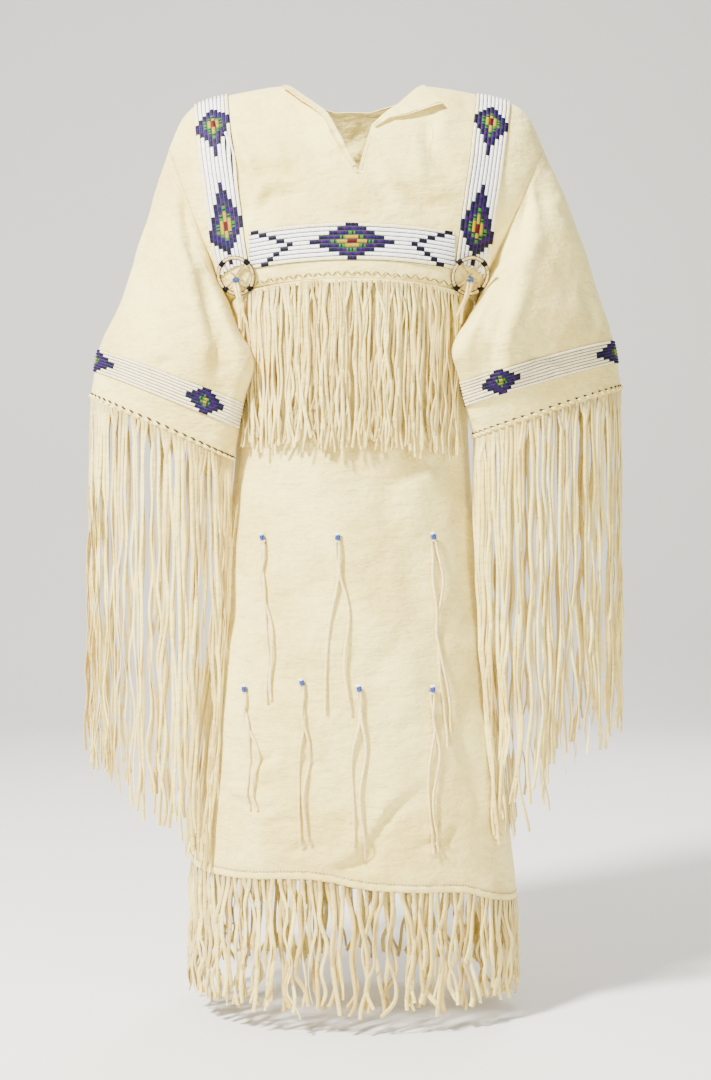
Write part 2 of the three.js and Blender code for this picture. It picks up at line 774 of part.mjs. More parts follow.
function hemFringe(facing, { strands }) {
  const vary = unevenness(facing < 0 ? 71 : 72);
  const places = combPlaces(strands, -Math.PI / 2, Math.PI / 2);
  const spot = (angle, drop) => {
    const share = signedPower(Math.sin(angle), 2 / bodyPower);
    const top = hemZ(share * skirtWidth(-1020)) + hemBandHeight - hemGap;
    return skirtPoint(angle, top, facing).setZ(top - drop);
  };
  const stations = places.map((angle) => ({
    top: spot(angle, 0),
    bottom: spot(angle, hemBandHeight - hemGap),
    inward: skirtInward(spot(angle, 0)),
  }));
  const levels = (k) => {
    const [a, b] = [stations[2 * k + 1], stations[2 * k + 2]];
    const middle = a.bottom.clone().add(b.bottom).multiplyScalar(0.5);
    const across = b.bottom.clone().sub(a.bottom).setZ(0);
    const sway = vary() * 3;
    const reach = middle.z - fringeFloor + vary() * 7;
    return [0.5, 1].map((share) => ({
      middle: middle
        .clone()
        .addScaledVector(across.clone().normalize(), sway * share ** 2)
        .add(vector(0, 0, -reach * share)),
      across: across.clone().multiplyScalar(1 - 0.2 * share),
      inward: a.inward,
    }));
  };
  return comb(stations, fringeThickness, levels);
}

// The chest fringe hangs from the waist seam, over the skirt's front.
function chestFringe({ strands, length, backing }) {
  const vary = unevenness(31);
  const places = combPlaces(strands, -chestFringeReach, chestFringeReach);
  const top = (share) => seamZ(share) - seamGap - 1;
  const on = (share, z) => skirtFront(share * underarmX, z, chestFringeLift + fringeThickness);
  const stations = places.map((share) => ({
    top: on(share, top(share)),
    bottom: on(share, top(share) - backing),
    inward: skirtInward(on(share, top(share))),
  }));
  const levels = (k) => {
    const [a, b] = [stations[2 * k + 1], stations[2 * k + 2]];
    const middle = a.bottom.clone().add(b.bottom).multiplyScalar(0.5);
    const across = b.bottom.clone().sub(a.bottom).setZ(0);
    const reach = length + vary() * 9;
    return [0.5, 1].map((share) => {
      const spot = middle.clone().add(vector(0, 0, -reach * share));
      const clear = clearOfSkirt(spot, chestFringeLift + 2.1);
      const narrower = across.clone().multiplyScalar(0.9);
      return { middle: clear, across: narrower, inward: skirtInward(clear) };
    });
  };
  return comb(stations, fringeThickness, levels);
}

// A sleeve's fringe hangs from all round its cuff and lies against the skirt where they meet.
function sleeveFringe(side, { strands, length, backing, startAngle, endAngle }) {
  const vary = unevenness(side === "left" ? 11 : 12);
  const places = combPlaces(strands, startAngle, endAngle);
  const stations = places.map((angle) => {
    const edge = sleevePoint(side, 1, angle);
    const inward = sleeveOutward(side, 1, angle).negate();
    const down = edge.clone().sub(sleevePoint(side, 0.97, angle)).normalize();
    return {
      top: edge.clone().addScaledVector(down, seamGap),
      bottom: edge.clone().addScaledVector(down, backing),
      inward,
    };
  });
  const levels = (k) => {
    const [a, b] = [stations[2 * k + 1], stations[2 * k + 2]];
    const middle = a.bottom.clone().add(b.bottom).multiplyScalar(0.5);
    const across = b.bottom.clone().sub(a.bottom).setZ(0);
    const beyond = clamp((Math.abs(middle.x) - outerFrom) / outerOver, 0, 1);
    const reach = lerp(length, outerStrand[side], beyond) + vary() * 14;
    const sway = vary() * 4;
    return [0.12, 0.5, 1].map((share) => {
      const spot = middle.clone().add(vector(sway * share, 0, -reach * share));
      const clear = clearOfSkirt(spot, 7);
      return { middle: clear, across: across.clone().multiplyScalar(0.85), inward: a.inward };
    });
  };
  return comb(stations, fringeThickness, levels);
}

// ---------------------------------------------------------------- neck, wheels and thongs

// A fold of the yoke's own hide, turned out and lying beside the slit.
function turnedEdge(rows, tipLift) {
  const cells = 3;
  const layer = (base) =>
    rows.map((row, j) => {
      const root = yokePoint(row.across, row.up, -1);
      return range(cells + 1).map((i) => {
        const away = (row.reach * i) / cells;
        const spot = yokePlace(root.x + away * row.awayX, root.z + away * row.awayZ);
        const point = yokePoint(spot.across, spot.up, -1);
        const stand = tipLift * (i / cells) * (j / (rows.length - 1));
        return point.addScaledVector(yokeOutward(spot.across, spot.up, -1), base + stand);
      });
    });
  const fold = sheetBetween(layer(quillLift + hideThickness), layer(quillSink));
  return cutUnder(fold, [yokeFormer(-1)]);
}

// A frame on the yoke's front for a wheel: its own x runs across, y up and z outwards.
function wheelFrame({ x, z, lift }) {
  const on = (dx, dz) => {
    const { across, up } = yokePlace(x + dx, z + dz);
    return yokePoint(across, up, -1);
  };
  const reach = wheel.radius - 3;
  const level = on(reach, 0).sub(on(-reach, 0)).normalize();
  level.lerp(new THREE.Vector3(1, 0, 0), wheel.faceFront).normalize();
  const upward = on(0, reach).sub(on(0, -reach));
  const outward = level.clone().cross(upward).normalize();
  const frame = new THREE.Matrix4().makeBasis(level, outward.clone().cross(level), outward);
  return frame.setPosition(on(0, 0).addScaledVector(outward, lift));
}

const joined = (first, second) => geometryOf(solidOf(first).add(solidOf(second)));

function crossedThongs() {
  const length = 2 * (wheel.radius - wheel.wrapOuter - seamGap);
  const bar = new THREE.BoxGeometry(length, spokeThong.width, spokeThong.thick);
  return joined(bar.clone().rotateZ(Math.PI / 4), bar.rotateZ(-Math.PI / 4));
}

function wrapTube() {
  const half = wheel.wrapLength / 2;
  const profile = [
    [wheel.wrapInner, -half],
    [wheel.wrapOuter, -half],
    [wheel.wrapOuter, half],
    [wheel.wrapInner, half],
    [wheel.wrapInner, -half],
  ];
  return new THREE.LatheGeometry(profile.map(([r, y]) => new THREE.Vector2(r, y)), 8);
}

// Two thongs from one small knot. bend(k, share) gives the middle of strand k on its way down.
function thongPair(top, width, drop, inward, bend) {
  const along = vector(-inward.y, inward.x, 0).normalize().multiplyScalar(-1);
  const places = [-0.5, -0.44, -0.06, 0.06, 0.44, 0.5];
  const stations = places.map((place) => ({
    top: top.clone().addScaledVector(along, place * width),
    bottom: top.clone().addScaledVector(along, place * width).add(vector(0, 0, -drop)),
    inward,
  }));
  const levels = (k) =>
    [0.5, 1].map((share) => {
      const { middle, inward: into } = bend(k, share);
      return { middle, across: along.clone().multiplyScalar(width * 0.34), inward: into };
    });
  return comb(stations, thongThickness, levels);
}

function wheelTails(frame, lean) {
  const at = (x, y, share = 0) =>
    vector(x, y, wheelTail.out + wheelTail.rise * share).applyMatrix4(frame);
  const inward = vector(0, 0, -1).transformDirection(frame);
  const bend = (k, share) => {
    const x = (k ? 1 : -1) * wheelTail.spread * (0.6 + share) + lean * share;
    return { middle: at(x, lerp(wheelTail.root, wheelTail.end, share), share), inward };
  };
  const top = at(0, wheelTail.root);
  return thongPair(top, wheelTail.width, skirtThongPair.knot, inward, bend);
}

function skirtThong({ x, z, ends }) {
  const { width, knot, lift, half, swing } = skirtThongPair;
  const top = z - beadRadius - seamGap;
  const inward = skirtInward(skirtFront(x, top, 0));
  const bend = (k, share) => {
    const [endX, endZ] = ends[k];
    const rootX = x + (k ? half : -half);
    const aside = Math.sin(share * Math.PI * 1.6) * swing * share;
    const across = lerp(rootX, endX, share) + aside;
    const spot = skirtFront(across, lerp(top - knot, endZ, share), lift);
    return { middle: spot, inward: skirtInward(spot) };
  };
  return thongPair(skirtFront(x, top, lift), width, knot, inward, bend);
}

// ---------------------------------------------------------------- materials

const paint = (color, roughness) => new THREE.MeshStandardMaterial({ color, roughness });
const hide = paint("#efe4c6", 0.85);
const fringeHide = paint("#e6d6b0", 0.88);
const quill = paint("#f4f1e6", 0.45);
const darkWrap = paint("#1d1b2b", 0.5);
const hoopWrap = paint("#f2ead2", 0.6);
const turquoise = paint("#2f7fb4", 0.3);
const blueBead = paint("#6f86c8", 0.3);

// ---------------------------------------------------------------- the dress

const dress = new THREE.Group();

function piece(name, geometry, material) {
  const mesh = new THREE.Mesh(geometry, material);
  mesh.name = name;
  dress.add(mesh);
  return mesh;
}

piece("front_yoke", yokePanel(-1), hide);
piece("back_yoke", yokePanel(1), hide);
piece("front_skirt", skirtPanel(-1), hide);
piece("back_skirt", skirtPanel(1), hide);
for (const side of sides) {
  piece(side + "_sleeve_front", sleevePanel(side, -1), hide);
  piece(side + "_sleeve_back", sleevePanel(side, 1), hide);
  piece(side + "_shoulder_strip", shoulderStripSolid(side), quill);
  piece(side + "_cuff_band", cuffBandSolid(side), quill);
  piece(side + "_sleeve_fringe", sleeveFringe(side, fringe.sleeve), fringeHide);
}
piece("chest_band", chestBandSolid(), quill);
piece("chest_fringe", chestFringe(fringe.chest), fringeHide);
piece("hem_fringe_front", hemFringe(-1, fringe.hemFront), fringeHide);
piece("hem_fringe_back", hemFringe(1, fringe.hemBack), fringeHide);

piece("left_neck_edge", turnedEdge(leftEdge, 0.4), hide);
piece("right_neck_flap", turnedEdge(rightFlap, flapLift), hide);

for (const side of sides) {
  const frame = wheelFrame(wheels[side]);
  const placed = (geometry) => geometry.applyMatrix4(frame);
  const ring = new THREE.TorusGeometry(wheel.radius, wheel.tube, 6, 20);
  piece(side + "_wheel_hoop", placed(ring), hoopWrap);
  piece(side + "_wheel_thongs", placed(crossedThongs()), hide);
  range(4).forEach((k) => {
    const turn = Math.PI / 4 + (k * Math.PI) / 2;
    const wrap = wrapTube().translate(wheel.radius, 0, 0).rotateZ(turn);
    piece(side + "_wheel_wrap_" + (k + 1), placed(wrap), darkWrap);
  });
  const bead = new THREE.SphereGeometry(turquoiseBead.radius, 8, 4);
  bead.translate(0, -turquoiseBead.drop, turquoiseBead.out);
  piece(side + "_wheel_bead", placed(bead), turquoise);
  piece(side + "_wheel_tails", wheelTails(frame, -signOf[side] * wheelTail.lean[side]), hide);
}

skirtThongs.forEach((thong, k) => {
  const bead = new THREE.SphereGeometry(beadRadius, 8, 4);
  const spot = skirtFront(thong.x, thong.z, beadRadius + seamGap);
  piece("skirt_bead_" + (k + 1), bead.translate(spot.x, spot.y, spot.z), blueBead);
  piece("skirt_thongs_" + (k + 1), skirtThong(thong), hide);
});

export default dress;
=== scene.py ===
# %% [markdown]
# # A quilled hide dress, dressed piece by piece
#
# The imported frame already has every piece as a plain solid. This lesson gives each one its
# finished look: soft hide with folds, quillwork laid lane by lane, cut fringe, hoops wrapped
# in quill, thongs, beads and sewing. Lengths are worked in millimetres and turned to metres
# as each mesh is made, and the dress faces towards -Y.

# %% Load the frame
import math
import random

import bmesh
import bpy
import numpy as np
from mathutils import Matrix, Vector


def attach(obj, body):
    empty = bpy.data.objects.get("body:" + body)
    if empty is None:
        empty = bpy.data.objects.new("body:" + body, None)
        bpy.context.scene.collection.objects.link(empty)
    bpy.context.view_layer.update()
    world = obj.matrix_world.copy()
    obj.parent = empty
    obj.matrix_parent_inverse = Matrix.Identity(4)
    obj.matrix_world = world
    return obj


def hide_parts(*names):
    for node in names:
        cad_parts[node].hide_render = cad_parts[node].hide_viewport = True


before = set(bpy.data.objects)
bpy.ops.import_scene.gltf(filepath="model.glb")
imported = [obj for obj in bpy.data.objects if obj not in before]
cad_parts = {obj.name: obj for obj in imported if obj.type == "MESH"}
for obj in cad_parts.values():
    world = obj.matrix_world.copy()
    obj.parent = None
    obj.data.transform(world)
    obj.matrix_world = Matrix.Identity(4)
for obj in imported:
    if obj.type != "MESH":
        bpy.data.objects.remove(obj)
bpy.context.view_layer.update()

# %% [markdown]
# ## Camera, floor and light
#
# The garment is seen straight from the front, from two metres away, with the lens level. A
# pale floor lies just below the longest fringe. A large soft lamp from the upper left, a
# weaker one from the right and an even pale room keep the shadows in the folds soft.

# %% Camera, floor and light
LOOK_FROM = (0.0045, -2.0, -0.588)
LENS, SENSOR = 51.28, 36  # millimetres
FLOOR = -1.19
LIT_POINT = (0, 0, -0.55)  # every lamp faces the middle of the dress


def linked(name, data):
    """A new object in the scene."""
    made = bpy.data.objects.new(name, data)
    bpy.context.collection.objects.link(made)
    return made


camera = linked("camera", bpy.data.cameras.new("camera"))
camera.data.sensor_width = SENSOR
camera.data.lens = LENS
camera.location = LOOK_FROM
camera.rotation_euler = (math.radians(90), 0, 0)
bpy.context.scene.camera = camera


def soft_light(name, place, size, power, colour):
    lamp = linked(name, bpy.data.lights.new(name, "AREA"))
    lamp.data.shape = "DISK"
    lamp.data.size = size
    lamp.data.energy = power
    lamp.data.color = colour
    lamp.location = place
    aim = (Vector(LIT_POINT) - Vector(place)).to_track_quat("-Z", "Y")
    lamp.rotation_euler = aim.to_euler()


soft_light("key_lamp", (-1.9, -1.8, 1.9), 0.5, 640, (1.0, 0.975, 0.92))
soft_light("fill_lamp", (1.9, -2.7, 0.1), 1.2, 62, (1.0, 0.98, 0.93))
soft_light("back_lamp", (0.9, 2.2, 1.2), 1.5, 90, (1.0, 0.98, 0.95))

room = bpy.data.worlds.new("room")
room.use_nodes = True
glow = room.node_tree.nodes["Background"].inputs
glow["Color"].default_value = (0.86, 0.88, 0.92, 1)
glow["Strength"].default_value = 0.5
bpy.context.scene.world = room
print("camera at", LOOK_FROM, "lens", LENS)

# %% [markdown]
# ## Writing shader maths plainly
#
# A material's maths reads best as ordinary sums. Each `Value` wraps one socket, and adding
# or multiplying two of them adds the matching node. `Maker.node` makes any other node, here
# and in the geometry trees later.


# %% Shader helpers
class Maker:
    """Adds nodes to self.graph: the type, its settings, then its inputs."""

    def put(self, slot, item):
        item = getattr(item, "socket", item)
        if isinstance(item, bpy.types.NodeSocket):
            self.graph.links.new(item, slot)
        else:
            slot.default_value = item

    def node(self, kind, settings, inputs):
        made = self.graph.nodes.new(kind)
        for key, value in settings.items():
            setattr(made, key, value)
        for key, item in inputs.items():
            self.put(made.inputs[key], item)
        return made


class Value:
    """One output socket, with sums that make Math nodes."""

    def __init__(self, shader, socket):
        self.shader = shader
        self.socket = socket

    def sum(self, kind, *others):
        made = self.shader.node("ShaderNodeMath", {"operation": kind}, {})
        for slot, item in zip(made.inputs, (self, *others)):
            self.shader.put(slot, item)
        return Value(self.shader, made.outputs[0])

    def __add__(self, other):
        return self.sum("ADD", other)

    def __mul__(self, other):
        return self.sum("MULTIPLY", other)

    def __sub__(self, other):
        return self.sum("SUBTRACT", other)

    def __rsub__(self, other):
        return (self * -1) + other

    __radd__ = __add__
    __rmul__ = __mul__

    def clamped(self, least, most):
        return self.sum("MAXIMUM", least).sum("MINIMUM", most)

    def step(self, start, end):
        """0 below start, 1 above end and smooth between."""
        made = self.shader.node(
            "ShaderNodeMapRange",
            {"interpolation_type": "SMOOTHSTEP"},
            {"Value": self, "From Min": start, "From Max": end},
        )
        return Value(self.shader, made.outputs["Result"])


class Shader(Maker):
    """A material being made, with one principled surface."""

    def __init__(self, name, rough, **even):
        self.material = bpy.data.materials.new(name)
        self.material.use_nodes = True
        self.graph = self.material.node_tree
        self.surface = self.graph.nodes["Principled BSDF"]
        self.surface.inputs["Roughness"].default_value = rough
        for socket, value in even.items():
            self.surface.inputs[socket.replace("_", " ")].default_value = value

    def place(self):
        return self.node("ShaderNodeTexCoord", {}, {}).outputs["Object"]

    def noise(self, scale, detail=3.0, where=None, rough=0.5):
        made = self.node(
            "ShaderNodeTexNoise",
            {},
            {
                "Vector": where or self.place(),
                "Scale": scale,
                "Detail": detail,
                "Roughness": rough,
            },
        )
        return Value(self, made.outputs["Fac"])

    def stretched(self, x, y, z):
        made = self.node(
            "ShaderNodeVectorMath",
            {"operation": "MULTIPLY"},
            {0: self.place(), 1: (x, y, z)},
        )
        return made.outputs["Vector"]

    def read(self, name, output="Fac"):
        made = self.node("ShaderNodeAttribute", {"attribute_name": name}, {})
        return Value(self, made.outputs[output])

    def mix(self, share, first, second, kind="MIX"):
        made = self.node("ShaderNodeMix", {"data_type": "RGBA", "blend_type": kind}, {})
        self.put(made.inputs["Factor"], share)
        self.put(made.inputs[6], first)
        self.put(made.inputs[7], second)
        return made.outputs[2]

    def colour(self, item):
        self.put(self.surface.inputs["Base Color"], item)

    def rough(self, item):
        self.put(self.surface.inputs["Roughness"], item)

    def bump(self, height, distance, strength=1.0, below=None):
        made = self.node(
            "ShaderNodeBump", {}, {"Height": height, "Distance": distance, "Strength": strength}
        )
        if below is not None:
            self.put(made.inputs["Normal"], below)
        self.put(self.surface.inputs["Normal"], made.outputs["Normal"])
        return made.outputs["Normal"]


def linear(code):
    """A colour written as screen red, green and blue, turned to light."""
    parts = [int(code[k : k + 2], 16) / 255 for k in (1, 3, 5)]
    return tuple(((c + 0.055) / 1.055) ** 2.4 if c > 0.04 else c / 12.92 for c in parts) + (1,)


print("shader helpers ready")

# %% [markdown]
# ## The dress's form
#
# Every soft piece lies on the frame's own form: an oval skirt, a yoke that closes over the
# shoulders and two sleeves that hang as tapering tubes. These are the frame's sizes again,
# so a fine piece made from them falls exactly where its plain solid is.

# %% Sizes of the form
SEAM_GAP = 0.3
HIDE = 2.0
UNDERARM = 160
SHOULDER_END = {"left": 237, "right": 248}
SHOULDER_END_Z = -81
ARMHOLE_DEPTH = 62
SEAM_SIDE_Z, SEAM_RISE = -282, 14
CHEST_DEPTH, BACK_SHARE = 124, 0.88
BODY_POWER, YOKE_TOP_POWER = 2.3, 1.7
ARCH_POWER, ARCH_ROUND = 2.6, 0.588
BACK_NECK_RISE, NECK_SHARE = 15, 0.39
HEM_BAND, HEM_GAP = 9, 0.8
FRINGE_FLOOR = -1158
SLEEVE_CLEAR = 10
ARMHOLE_Z = (SEAM_SIDE_Z + SHOULDER_END_Z) / 2
HEM_LEVEL = -1020  # where the skirt's width is read for the hem
RIGHT_SHIFT = 8  # the right sleeve hangs this much further out than the left
MM = 0.001
SIGN = {"left": -1, "right": 1}

SHOULDER_LINE = {"share": [0, 0.38, 0.64, 0.84, 0.93, 1], "z": [0, 0, -10, -23, -43, -81]}
FRONT_NECK = {
    "across": [-0.39, -0.275, -0.137, -0.06, -0.011, 0.038, 0.075, 0.11, 0.18, 0.258, 0.385],
    "up": [1, 0.908, 0.795, 0.66, 0.585, 0.5, 0.62, 0.735, 0.8, 0.86, 1],
}
BACK_NECK = {
    "across": [-0.39, -0.26, -0.1, 0.1, 0.26, 0.385],
    "up": [1, 0.93, 0.885, 0.885, 0.93, 1],
}
SKIRT = {
    "z": [-1060, -991, -796, -614, -470, -330, -262],
    "width": [214, 208, 186, 166, 151, 155, 160],
    "depth": [144, 139, 132, 122, 116, 120, 124],
}
HEM_LINE = {
    "x": [-214, -140, -50, 20, 80, 137, 168, 210],
    "z": [-1000, -1003, -1000, -1012, -1017, -1021, -1032, -1047],
}
SLEEVE_ALONG = [0, 0.25, 0.5, 0.75, 1]
SLEEVE_DEPTH = [62, 60, 57, 53, 50]
SLEEVES = {  # the outer and the inner end of the sleeve's rings, from the armhole down
    "left": (
        [(-237, 0, -81), (-268, 2, -180), (-300, 5, -275), (-329, 8, -338), (-341, 10, -400)],
        [
            (-160, 0, -282),
            (-142, -64, -322),
            (-121, -99, -368),
            (-134, -84, -416),
            (-149, -60, -487),
        ],
    ),
    "right": (
        [(248, 0, -81), (284, 2, -163), (317, 5, -257), (340, 8, -326), (351, 10, -390)],
        [(160, 0, -282), (143, -64, -312), (124, -99, -352), (134, -86, -390), (153, -60, -458)],
    ),
}
SLEEVE_FOLDS = [  # from, to, start angle, end angle, width, depth
    (0.1, 1, 112, 150, 11, -9),
    (0.15, 0.95, 92, 118, 14, 5),
    (0.3, 1, 250, 225, 13, -8),
]


# %% The form as functions of arrays
def read(keys, values, place):
    """A smooth curve through a table's rows, read at many places at once."""
    keys, values = np.asarray(keys, float), np.asarray(values, float)
    at = np.clip(np.asarray(place, float), keys[0], keys[-1])
    k = np.clip(np.searchsorted(keys, at, side="left") - 1, 0, len(keys) - 2)
    before = np.maximum(np.arange(len(keys)) - 1, 0)
    after = np.minimum(np.arange(len(keys)) + 1, len(keys) - 1)
    slope = ((values[after] - values[before]).T / (keys[after] - keys[before])).T
    span = keys[k + 1] - keys[k]
    t = (at - keys[k]) / span
    shape = t.shape + (1,) * (values.ndim - 1)
    t, span = t.reshape(shape), span.reshape(shape)
    rise = values[k + 1] - values[k]
    bow = (t**3 - 2 * t**2 + t) * slope[k] + (t**3 - t**2) * slope[k + 1]
    return values[k] + rise * (3 * t**2 - 2 * t**3) + bow * span


def matched(*values):
    """Each value as an array, all of one shape."""
    return np.broadcast_arrays(*(np.asarray(value, float) for value in values))


def signed_power(value, power):
    return np.sign(value) * np.abs(value) ** power


def blend(first, second, share):
    return first + (second - first) * share


def stack(*parts):
    return np.stack(np.broadcast_arrays(*parts), axis=-1).astype(float)


def unit(vectors):
    return vectors / np.maximum(np.linalg.norm(vectors, axis=-1, keepdims=True), 1e-12)


def path_length(points):
    """How far along a line each of its points lies."""
    steps = np.linalg.norm(np.diff(points, axis=0), axis=1)
    return np.concatenate([[0], np.cumsum(steps)])


def seam_z(share):
    return SEAM_SIDE_Z + SEAM_RISE * (1 - np.asarray(share, float) ** 2)


def skirt_width(z):
    return read(SKIRT["z"], SKIRT["width"], z)


def skirt_depth(z):
    return read(SKIRT["z"], SKIRT["depth"], z)


def hem_z(x):
    return read(HEM_LINE["x"], HEM_LINE["z"], x)


def skirt_point(angle, z, facing):
    x = skirt_width(z) * signed_power(np.sin(angle), 2 / BODY_POWER)
    deep = skirt_depth(z) * (1 if facing < 0 else BACK_SHARE)
    y = facing * (deep * np.abs(np.cos(angle)) ** (2 / BODY_POWER) + SEAM_GAP / 2)
    return stack(x, y, z)


def skirt_reach(points):
    """The skirt's half width and its depth at the height of each point."""
    z = points[..., 2]
    return skirt_width(z), skirt_depth(z) * np.where(points[..., 1] < 0, 1, BACK_SHARE)


def skirt_outward(points):
    wide, deep = skirt_reach(points)
    gx = signed_power(points[..., 0] / wide, BODY_POWER - 1) / wide
    gy = signed_power(points[..., 1] / deep, BODY_POWER - 1) / deep
    return unit(stack(gx, gy, 0 * gx))


def clear_of_skirt(points, margin):
    """The points, moved out wherever they are nearer to the skirt than the margin."""
    wide, deep = skirt_reach(points)
    x, y, z = (points[..., k] for k in range(3))
    share = np.abs(x / (wide + margin)) ** BODY_POWER + np.abs(y / (deep + margin)) ** BODY_POWER
    grow = np.where(share < 1, np.maximum(share, 1e-6) ** (-1 / BODY_POWER), 1)
    return stack(x * grow, y * grow, z)


def shoulder_x(across):
    return np.where(np.asarray(across) < 0, SHOULDER_END["left"], SHOULDER_END["right"])


def yoke_point(across, up, facing):
    across, up = matched(across, up)
    reach = np.abs(across)
    x = across * blend(UNDERARM, shoulder_x(across), up)
    crest = read(SHOULDER_LINE["share"], SHOULDER_LINE["z"], reach)
    if facing > 0:
        crest = crest + BACK_NECK_RISE * np.maximum(0, 1 - (reach / NECK_SHARE) ** 2)
    z = blend(seam_z(across), crest, up)
    power = blend(BODY_POWER, YOKE_TOP_POWER, np.minimum(1, up / 0.35))
    deep = CHEST_DEPTH * (1 if facing < 0 else BACK_SHARE)
    middle = deep * np.maximum(1 - up**ARCH_POWER, 0) ** ARCH_ROUND
    edge = ARMHOLE_DEPTH * 2 * np.sqrt(np.maximum(up * (1 - up), 0))
    round_off = np.maximum(0, 1 - reach**power) ** (1 / power)
    return stack(x, facing * (edge + (middle - edge) * round_off + SEAM_GAP / 2), z)


def yoke_place(x, z):
    """The place on the yoke, across and up, that lies at x and z."""
    x, z = matched(x, z)
    up = np.full(x.shape, 0.5)
    for _ in range(14):  # each round comes closer
        across = x / blend(UNDERARM, shoulder_x(x), up)
        crest = read(SHOULDER_LINE["share"], SHOULDER_LINE["z"], np.abs(across))
        up = (z - seam_z(across)) / (crest - seam_z(across))
    return across, up


def yoke_outward(across, up, facing):
    step = 0.004
    right = yoke_point(np.minimum(across + step, 1), up, facing)
    left = yoke_point(np.maximum(across - step, -1), up, facing)
    above = yoke_point(across, np.minimum(up + step, 1), facing)
    below = yoke_point(across, np.maximum(up - step, 0), facing)
    return unit(np.cross(right - left, above - below) * -facing)


def sleeve_point(side, along, angle):
    """angle is 0 at the outer end, 90 at the front and 180 at the underarm seam."""
    along, angle = matched(along, angle)
    out, into = (read(SLEEVE_ALONG, ends, along) for ends in SLEEVES[side])
    deep = read(SLEEVE_ALONG, SLEEVE_DEPTH, along)
    for start, end, angle_a, angle_b, width, depth in SLEEVE_FOLDS:
        share = np.clip((along - start) / (end - start), 0, 1)
        off = ((angle - blend(angle_a, angle_b, share) + 540) % 360 - 180) / width
        fade = np.sqrt(np.sin(np.pi * np.minimum(1, share * 1.2)).clip(0))
        deep = deep + depth * np.exp(-(off**2)) * fade
    turn = np.radians(angle)
    points = (out + into) / 2 + (out - into) / 2 * np.cos(turn)[..., None]
    points[..., 1] -= deep * np.sin(turn)
    clear = clear_of_skirt(points, np.minimum(SLEEVE_CLEAR, SEAM_GAP + along * 70))
    return np.where((along > 0)[..., None], clear, points)


def sleeve_outward(side, along, angle):
    below = sleeve_point(side, np.minimum(along + 0.01, 1), angle)
    down = below - sleeve_point(side, along - 0.01, angle)
    turn = sleeve_point(side, along, angle + 2) - sleeve_point(side, along, angle - 2)
    return unit(np.cross(down, turn) * -SIGN[side])


print("yoke front at the middle:", yoke_point(0.0, 0.3, -1).round(1))

# %% [markdown]
# ## Folds, listed one by one
#
# Soft hide doesn't crease sharply: a fold is a shallow trough with a low ridge beside it,
# uneven along its length. Each row below is one fold on the cloth as seen from its own side:
# where it starts and ends, how far it bows, its width and its depth. A few slow waves, the
# same every time, keep the rest of the hide from lying dead flat.

# %% Folds
FRONT_FOLDS = [  # x, z at the start; x, z at the end; bow; width; depth, all in millimetres
    (-172, -60, -128, -190, 10, 7, -3.2),
    (-120, -120, -78, -138, -5, 10, -2.2),
    (-118, -178, -60, -160, 6, 9, -2.0),
    (-95, -70, -35, -125, 8, 16, -1.8),
    (60, -150, 122, -178, -6, 10, -2.0),
    (92, -60, 128, -150, -9, 12, -2.4),
    (35, -195, -30, -176, 5, 12, -1.4),
    (12, -130, 48, -178, 4, 10, -1.2),
    (-146, -330, -60, -412, 18, 14, -1.6),
    (120, -470, 40, -560, -16, 16, -1.9),
    (-110, -500, -30, -640, 20, 20, -1.8),
    (60, -610, 132, -720, -14, 16, -2.0),
    (-150, -640, -70, -760, -18, 18, -2.2),
    (12, -985, 92, -890, 12, 8, -2.3),
    (-30, -930, 6, -938, 3, 6, -1.1),
    (-150, -905, -92, -914, -4, 6, -1.2),
    (-120, -940, -60, -932, 4, 5, -1.0),
    (70, -960, 130, -946, -4, 6, -1.3),
    (104, -985, 128, -940, 3, 5, -1.2),
    (20, -905, 44, -930, -3, 5, -1.1),
    (-80, -975, -34, -955, 4, 6, -1.2),
    (-30, -990, 30, -968, -5, 9, -2.6),
    (-92, -846, -128, -862, 4, 7, -2.2),
    (-60, -850, -38, -862, -3, 6, -1.8),
    (110, -800, 160, -930, 12, 14, -2.6),
    (140, -560, 150, -700, 6, 12, -2.4),
    (-20, -700, 40, -820, 14, 22, -1.8),
    (-160, -900, -120, -985, 8, 13, -2.4),
    (60, -700, 20, -760, 6, 12, -1.4),
]
BACK_FOLDS = [
    (-60, -40, -130, -150, -12, 13, -2.6),
    (64, -44, 126, -160, 12, 13, -2.6),
    (-20, -60, 24, -64, -6, 9, -1.8),
    (-110, -205, -40, -180, 8, 11, -2.0),
    (105, -210, 36, -186, -7, 11, -2.0),
    (-130, -330, -50, -440, 16, 16, -2.2),
    (120, -340, 60, -450, -14, 15, -2.2),
    (-20, -460, 30, -620, 16, 20, -2.0),
    (-120, -560, -70, -720, -12, 18, -2.2),
    (90, -600, 140, -760, 14, 17, -2.2),
    (-40, -800, -110, -960, -16, 15, -3.0),
    (40, -860, 96, -980, 10, 12, -3.2),
    (10, -700, -50, -800, 12, 18, -1.6),
]
SLEEVE_FRONT_FOLDS = [  # x is the distance from the middle, the same on both sides
    (207, -98, 197, -238, 4, 9, -3.4),
    (201, -214, 165, -378, -6, 9, -3.0),
    (181, -96, 172, -172, 4, 6, -2.6),
    (184, -152, 172, -244, -5, 7, -1.8),
    (216, -124, 228, -236, 10, 13, -1.6),
    (236, -190, 262, -290, 8, 16, -1.2),
    (268, -220, 300, -330, 8, 12, -1.0),
    (206, -352, 250, -372, -4, 8, -1.2),
    (156, -330, 167, -392, 4, 6, -1.0),
    (224, -330, 238, -352, 3, 5, -0.8),
]
SLEEVE_BACK_FOLDS = [
    (200, -100, 190, -220, 8, 12, -4.0),
    (222, -150, 250, -280, 10, 14, -3.0),
    (180, -250, 206, -350, -8, 11, -3.2),
    (262, -230, 292, -340, 8, 13, -2.2),
    (206, -340, 180, -420, 6, 10, -2.6),
]
FOLD_STRENGTH = 2.3


